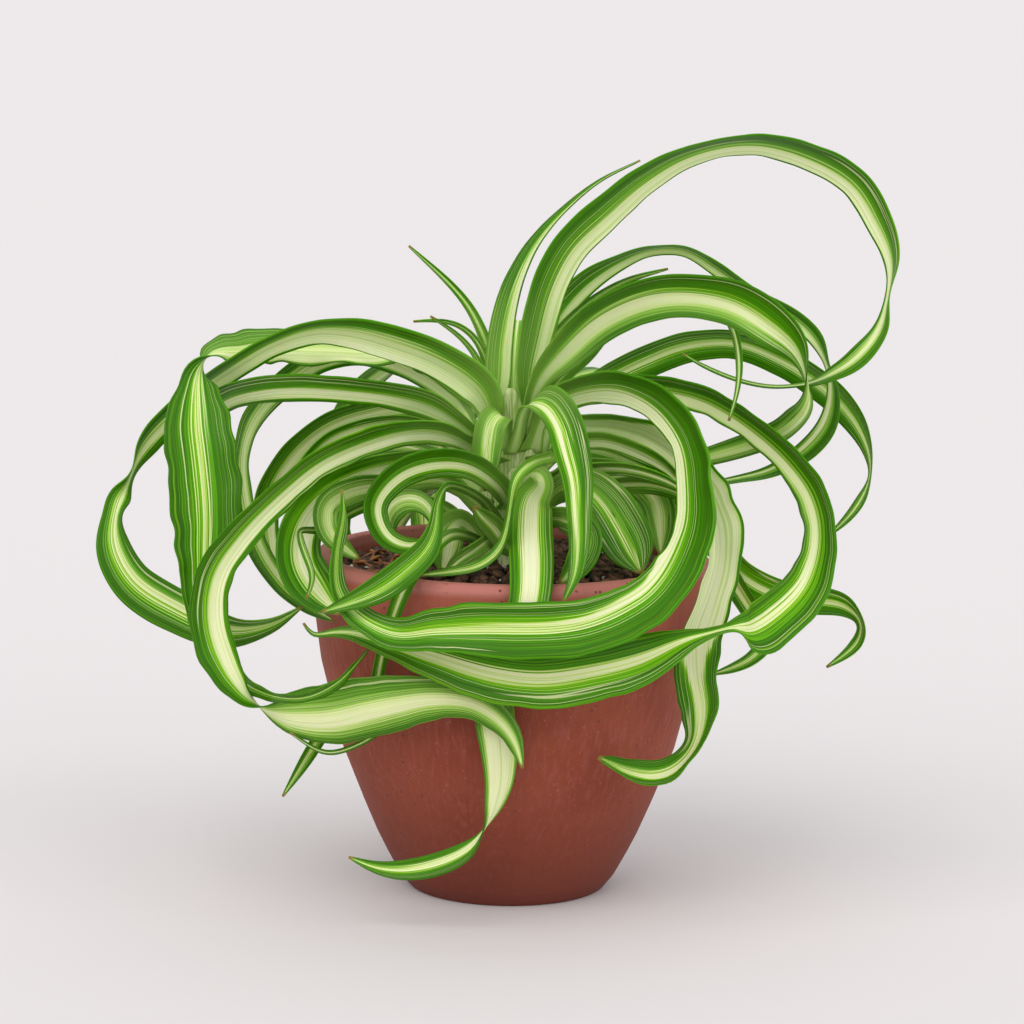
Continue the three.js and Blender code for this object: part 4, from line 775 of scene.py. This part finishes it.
def along(stations, distances, s):
    """A smooth value between the stations, with each station's slope taken from its neighbours."""
    k = 0
    while k < len(stations) - 2 and s > distances[k + 1]:
        k += 1

    def slope(i):
        before, after = max(i - 1, 0), min(i + 1, len(stations) - 1)
        span = distances[after] - distances[before]
        return [(b - a) / span for a, b in zip(stations[before], stations[after])]

    run = distances[k + 1] - distances[k]
    t = (s - distances[k]) / run
    weights = (2 * t ** 3 - 3 * t ** 2 + 1, 3 * t ** 2 - 2 * t ** 3,
               run * (t ** 3 - 2 * t ** 2 + t), run * (t ** 3 - t ** 2))
    terms = zip(stations[k], stations[k + 1], slope(k), slope(k + 1))
    return [sum(w * value for w, value in zip(weights, term)) for term in terms]


def between(values, t):
    """A value given at even steps from the root to the tip."""
    k = min(int(t * (len(values) - 1)), len(values) - 2)
    t = t * (len(values) - 1) - k
    t = t * t * (3 - 2 * t)
    return values[k] + (values[k + 1] - values[k]) * t


def leaf_mesh(name, across, fold, crease, cream, stations):
    """The blade as a grid, moved onto its route: columns run across the leaf and rows along it."""
    distances = [0]
    for a, b in zip(stations, stations[1:]):
        distances.append(distances[-1] + (Vector(b[:3]) - Vector(a[:3])).length)
    length = distances[-1]
    rows = max(FEWEST_ROWS, round(length / ROW_STEP))
    widest = max(station[3] for station in stations)
    lift_wave = WAVY_MARGINS.get(name, PLAIN_MARGIN)
    edge_wave = EDGE_WAVE * WAVY_MARGINS.get(name, 0)
    phase = random.uniform(0, WAVE_PHASES)
    grid = bmesh.new()
    grid.loops.layers.uv.new("leaf")
    bmesh.ops.create_grid(grid, x_segments=COLUMNS, y_segments=rows, size=0.5, calc_uvs=True)
    marks = {key: grid.verts.layers.float.new(key) for key in LEAF_MARKS}
    folded_half, folded_reach = FOLDED_OVER.get(name, (0, 0))
    leaf_tone = random.uniform(0, 1)
    # the stations' small corners are smoothed out along the leaf
    path = [along(stations, distances, length * i / rows) for i in range(rows + 1)]
    for _ in range(SMOOTHING):
        inner = [[(a + 2 * b + c) / 4 for a, b, c in zip(*three)] for three in zip(path, path[1:], path[2:])]
        path = [path[0], *inner, path[-1]]
    frames = []
    for i, here in enumerate(path):
        s = length * i / rows
        ahead = (Vector(path[min(i + 1, rows)][:3]) - Vector(path[max(i - 1, 0)][:3])).normalized()
        if across:
            out = Vector(across).cross(ahead).normalized()
        else:
            out = (FRONT - ahead * FRONT.dot(ahead)).normalized()
        out = Matrix.Rotation(-math.radians(here[4]), 3, ahead) @ out
        half = max(here[3], THINNEST) / 2
        if widest > SHEATHED_WIDTH:
            half = max(half, SHEATH_WIDTH / 2 * (1 - s / SHEATH_REACH))
        bend = math.radians(fold[0] + (fold[1] - fold[0]) * s / length)
        frames.append((Vector(here[:3]), out, ahead.cross(out).normalized(), half, bend, s,
                       between(crease, s / length), between(cream, s / length)))
    for vertex in grid.verts:
        blade_side = vertex.co.x * 2
        i = round((vertex.co.y + 0.5) * rows)
        where, out, beside, half, bend, s, ridge, band = frames[i]
        # the two halves meet in a crease, which lies off the middle where one half is seen edge-on
        side = ridge + blade_side * (1 - ridge if blade_side > 0 else 1 + ridge)
        groove = math.sqrt(blade_side * blade_side + GROOVE_SOFTNESS) - GROOVE_DEPTH
        wave_place = Vector((s * WAVES_PER_MM + phase, blade_side * 0.5, phase))
        wave = noise.noise(wave_place) * lift_wave * min(2 * half / FULL_WAVE_WIDTH, 1) * blade_side ** 2
        lift = half * math.sin(bend) * groove + wave
        edge = noise.noise(wave_place * EDGE_WAVE_RATE) * edge_wave * blade_side ** 2
        reach = side * half * math.cos(bend) + edge
        vertex.co = (where + beside * reach + out * lift) * MM
        vertex[marks["tip"]] = max(0, 1 - (length - s) / DRY_TIP)
        vertex[marks["base"]] = max(0, 1 - s / PALE_FOOT)
        vertex[marks["tone"]] = leaf_tone
        # on the narrow half the green margin is turned out of sight
        narrow = min(max(0, ridge if blade_side > 0 else -ridge) * NARROW_HALF_CREAM, MOST_CREAM)
        vertex[marks["cream"]] = band + (1 - band) * narrow
        if folded_half * blade_side > MIDRIB_HALF_WIDTH:
            vertex[marks["under"]] = min(max((folded_reach - s / length) / FOLD_ENDS_OVER, 0), 1)
    return grid


def leaf_material(name, roughness, colours, folded_colours, line_colour):
    """Living leaf, striped across by its UV map: cream along the midrib, then fine lines, then green.
    Each colour comes with its place from the midrib at 0 to the margin at 1."""
    material, shader = new_material(name, roughness)
    mark = {key: add(material, "ShaderNodeAttribute", output="Fac", attribute_name=key) for key in LEAF_MARKS}
    uv = add(material, "ShaderNodeUVMap", uv_map="leaf")
    u_and_v = add(material, "ShaderNodeSeparateXYZ", {"Vector": uv}).node.outputs
    # the lines run the whole leaf: the pattern is fine across it and hardly changes along it
    leaf_number = add(material, "ShaderNodeMath", {0: mark["tone"], 1: 30}, operation="MULTIPLY")
    slow_change = add(material, "ShaderNodeMath", {0: u_and_v["Y"], 1: 0.07}, operation="MULTIPLY")
    line_place = add(material, "ShaderNodeCombineXYZ", {
        "X": u_and_v["X"], "Y": leaf_number, "Z": slow_change})

    def lines(count, detail=0):
        """A pattern of lines, with so many cells across the leaf."""
        where = add(material, "ShaderNodeMapping", {"Vector": line_place, "Scale": (count, 1, count)})
        return add(material, "ShaderNodeTexNoise", {"Vector": where, "Scale": 1, "Detail": detail})

    def apart(value, centre, scale=1):
        """How far a value is from a centre, either way."""
        offset = add(material, "ShaderNodeMath", {0: value, 1: scale, 2: -centre * scale},
                     operation="MULTIPLY_ADD")
        return add(material, "ShaderNodeMath", {0: offset}, operation="ABSOLUTE")

    # from the cream's edge to the margin, made uneven by fine and by broad lines
    to_margin = apart(u_and_v["X"], 0.5, 2)
    outward = add(material, "ShaderNodeMapRange", {"Value": to_margin, "From Min": mark["cream"]},
                  clamp=False)
    for pattern, weight in ((lines(38, 1), 1.1), (lines(8), 0.45)):
        outward = add(material, "ShaderNodeMath", {0: pattern, 1: weight, 2: outward},
                      operation="MULTIPLY_ADD")
    shade = add(material, "ShaderNodeMapRange", {"Value": outward, "From Min": 0.175, "From Max": 1.975})
    masks = [add(material, "ShaderNodeMapRange",
                 {"Value": value, "From Min": low, "From Max": high, "To Max": strength},
                 interpolation_type="SMOOTHSTEP")
             for value, low, high, strength in (
                 (shade, 0.33, 0.45, 1), (shade, 0.33, 0.45, 0.5), (shade, 0.34, 0.28, 0.6),
                 (to_margin, 0.92, 0.82, 0.6))]
    in_green, half_in_green, in_cream, off_margin = masks
    stripes = []
    for stops in filter(None, (colours, folded_colours)):
        stripes.append(add(material, "ShaderNodeValToRGB", {"Fac": shade}))
        elements = stripes[-1].node.color_ramp.elements
        while len(elements) < len(stops):
            elements.new(0.5)
        for element, (position, stop_colour) in zip(elements, stops):
            element.position = position
            element.color = linear(stop_colour)
    darkest, pale_green, lime = colours[-2][1], colours[2][1], colours[3][1]
    threads = lines(52, 2)
    colour = painted(material, stripes[0], [
        # darker and lighter threads, 0.3 to 0.6 mm apart, in the green and faintly in the cream
        (threads, 0.52, 0.66, half_in_green, darkest),
        (threads, 0.45, 0.33, 0.42, lime),
        # pale green lines in the cream
        (lines(19, 1), 0.53, 0.61, in_cream, pale_green),
        # single cream pinstripes, a few to a leaf, and dark ones in the green
        (apart(lines(13), 0.63), 0.03, 0.008, off_margin, line_colour),
        (apart(lines(17), 0.4), 0.02, 0.006, in_green, darkest),
    ])
    if folded_colours:
        colour = add(material, "ShaderNodeMix", {"Factor": mark["under"], 6: colour, 7: stripes[1]}, 2,
                     data_type="RGBA")
    # the leaf's foot is pale where it was sheathed, and its very tip is dry
    paleness = add(material, "ShaderNodeMath", {0: mark["base"], 1: 0.55}, operation="MULTIPLY")
    colour = add(material, "ShaderNodeMix", {"Factor": paleness, 6: colour, 7: linear("#a9cf62")}, 2,
                 data_type="RGBA")
    colour = painted(material, colour, [(mark["tip"], 0.6, 0.9, 1, "#8a7a3c")])
    veins = add(material, "ShaderNodeBump", {"Height": lines(60, 2), "Strength": 0.4, "Distance": 0.15 * MM})
    # light passes through the thin blade and scatters inside it
    wire(shader, {
        "Base Color": colour, "Normal": veins, "Specular IOR Level": 0.13, "Subsurface Weight": 0.3,
        "Subsurface Radius": (0.5, 1, 0.15), "Subsurface Scale": 1.5 * MM})
    return material


UPPER_COLOURS = [
    (0.1, "#e4ebc0"), (0.3, "#d9e4a8"), (0.335, "#b8d465"), (0.36, "#85b81a"), (0.43, "#59a003"),
    (0.56, "#418202"), (0.77, "#2f5f02"), (0.93, "#4a8d05")]
UNDERSIDE_COLOURS = [
    (0.1, "#dfe9b4"), (0.3, "#cfdf98"), (0.35, "#b4d172"), (0.41, "#a1c75c"), (0.51, "#80ae40"),
    (0.64, "#588c22"), (0.8, "#3a6e10"), (0.93, "#5f8c2a")]
upper_side = leaf_material("glossy_striped_leaf", 0.42, UPPER_COLOURS, UNDERSIDE_COLOURS, "#e2eaac")
under_side = leaf_material("dull_leaf_underside", 0.6, UNDERSIDE_COLOURS, None, "#d2e09c")
random.seed(21)
for name, leaf in LEAVES.items():
    faces = [under_side, upper_side] if name in SEEN_FROM_BELOW else [upper_side, under_side]
    blade = finish_piece(f"striped_{name}", leaf_mesh(name, *leaf), faces, [f"leaf_{name}"])
    wall = blade.modifiers.new("thickness", "SOLIDIFY")
    wall.thickness = LEAF_THICKNESS * MM
    wall.offset = 0
    wall.material_offset = 1


# Floor and light: a plain pale floor, and far soft lamps: the strongest up and to the left, a weaker one
# on the right, and a faint one behind. The air around is evenly pale.
FLOOR_SIZE = 60
AIR_BRIGHTNESS = 0.68
floor_mesh = bmesh.new()
bmesh.ops.create_grid(floor_mesh, x_segments=1, y_segments=1, size=FLOOR_SIZE / 2)
floor_data = bpy.data.meshes.new("floor")
floor_mesh.to_mesh(floor_data)
floor_mesh.free()
floor = bpy.data.objects.new("floor", floor_data)
bpy.context.scene.collection.objects.link(floor)
paper, paper_shader = new_material("pale_paper_floor", 0.9)
wire(paper_shader, {"Base Color": linear("#d9d6d6")})
floor_data.materials.append(paper)


def soft_lamp(name, place, strength, spread, colour):
    """A far, wide lamp: it lights the whole floor evenly, with shadows softened by its spread."""
    lamp = bpy.data.lights.new(name, "SUN")
    lamp.energy = strength
    lamp.angle = math.radians(spread)
    lamp.color = linear(colour)[:3]
    lamp_object = bpy.data.objects.new(name, lamp)
    lamp_object.rotation_euler = (-Vector(place)).to_track_quat("-Z", "Y").to_euler()
    bpy.context.scene.collection.objects.link(lamp_object)


soft_lamp("key", (-2.2, -3.2, 3.8), 1.45, 55, "#fffaf6")
soft_lamp("fill", (3.2, -3.0, 2.4), 0.95, 60, "#fffcfa")
soft_lamp("back", (0.8, 3.0, 4.4), 0.45, 70, "#ffffff")
world = bpy.data.worlds.new("pale_air")
world.use_nodes = True
wire(world.node_tree.nodes["Background"], {"Color": linear("#f8f7fb"), "Strength": AIR_BRIGHTNESS})
bpy.context.scene.world = world
bpy.context.scene.view_settings.view_transform = "Standard"
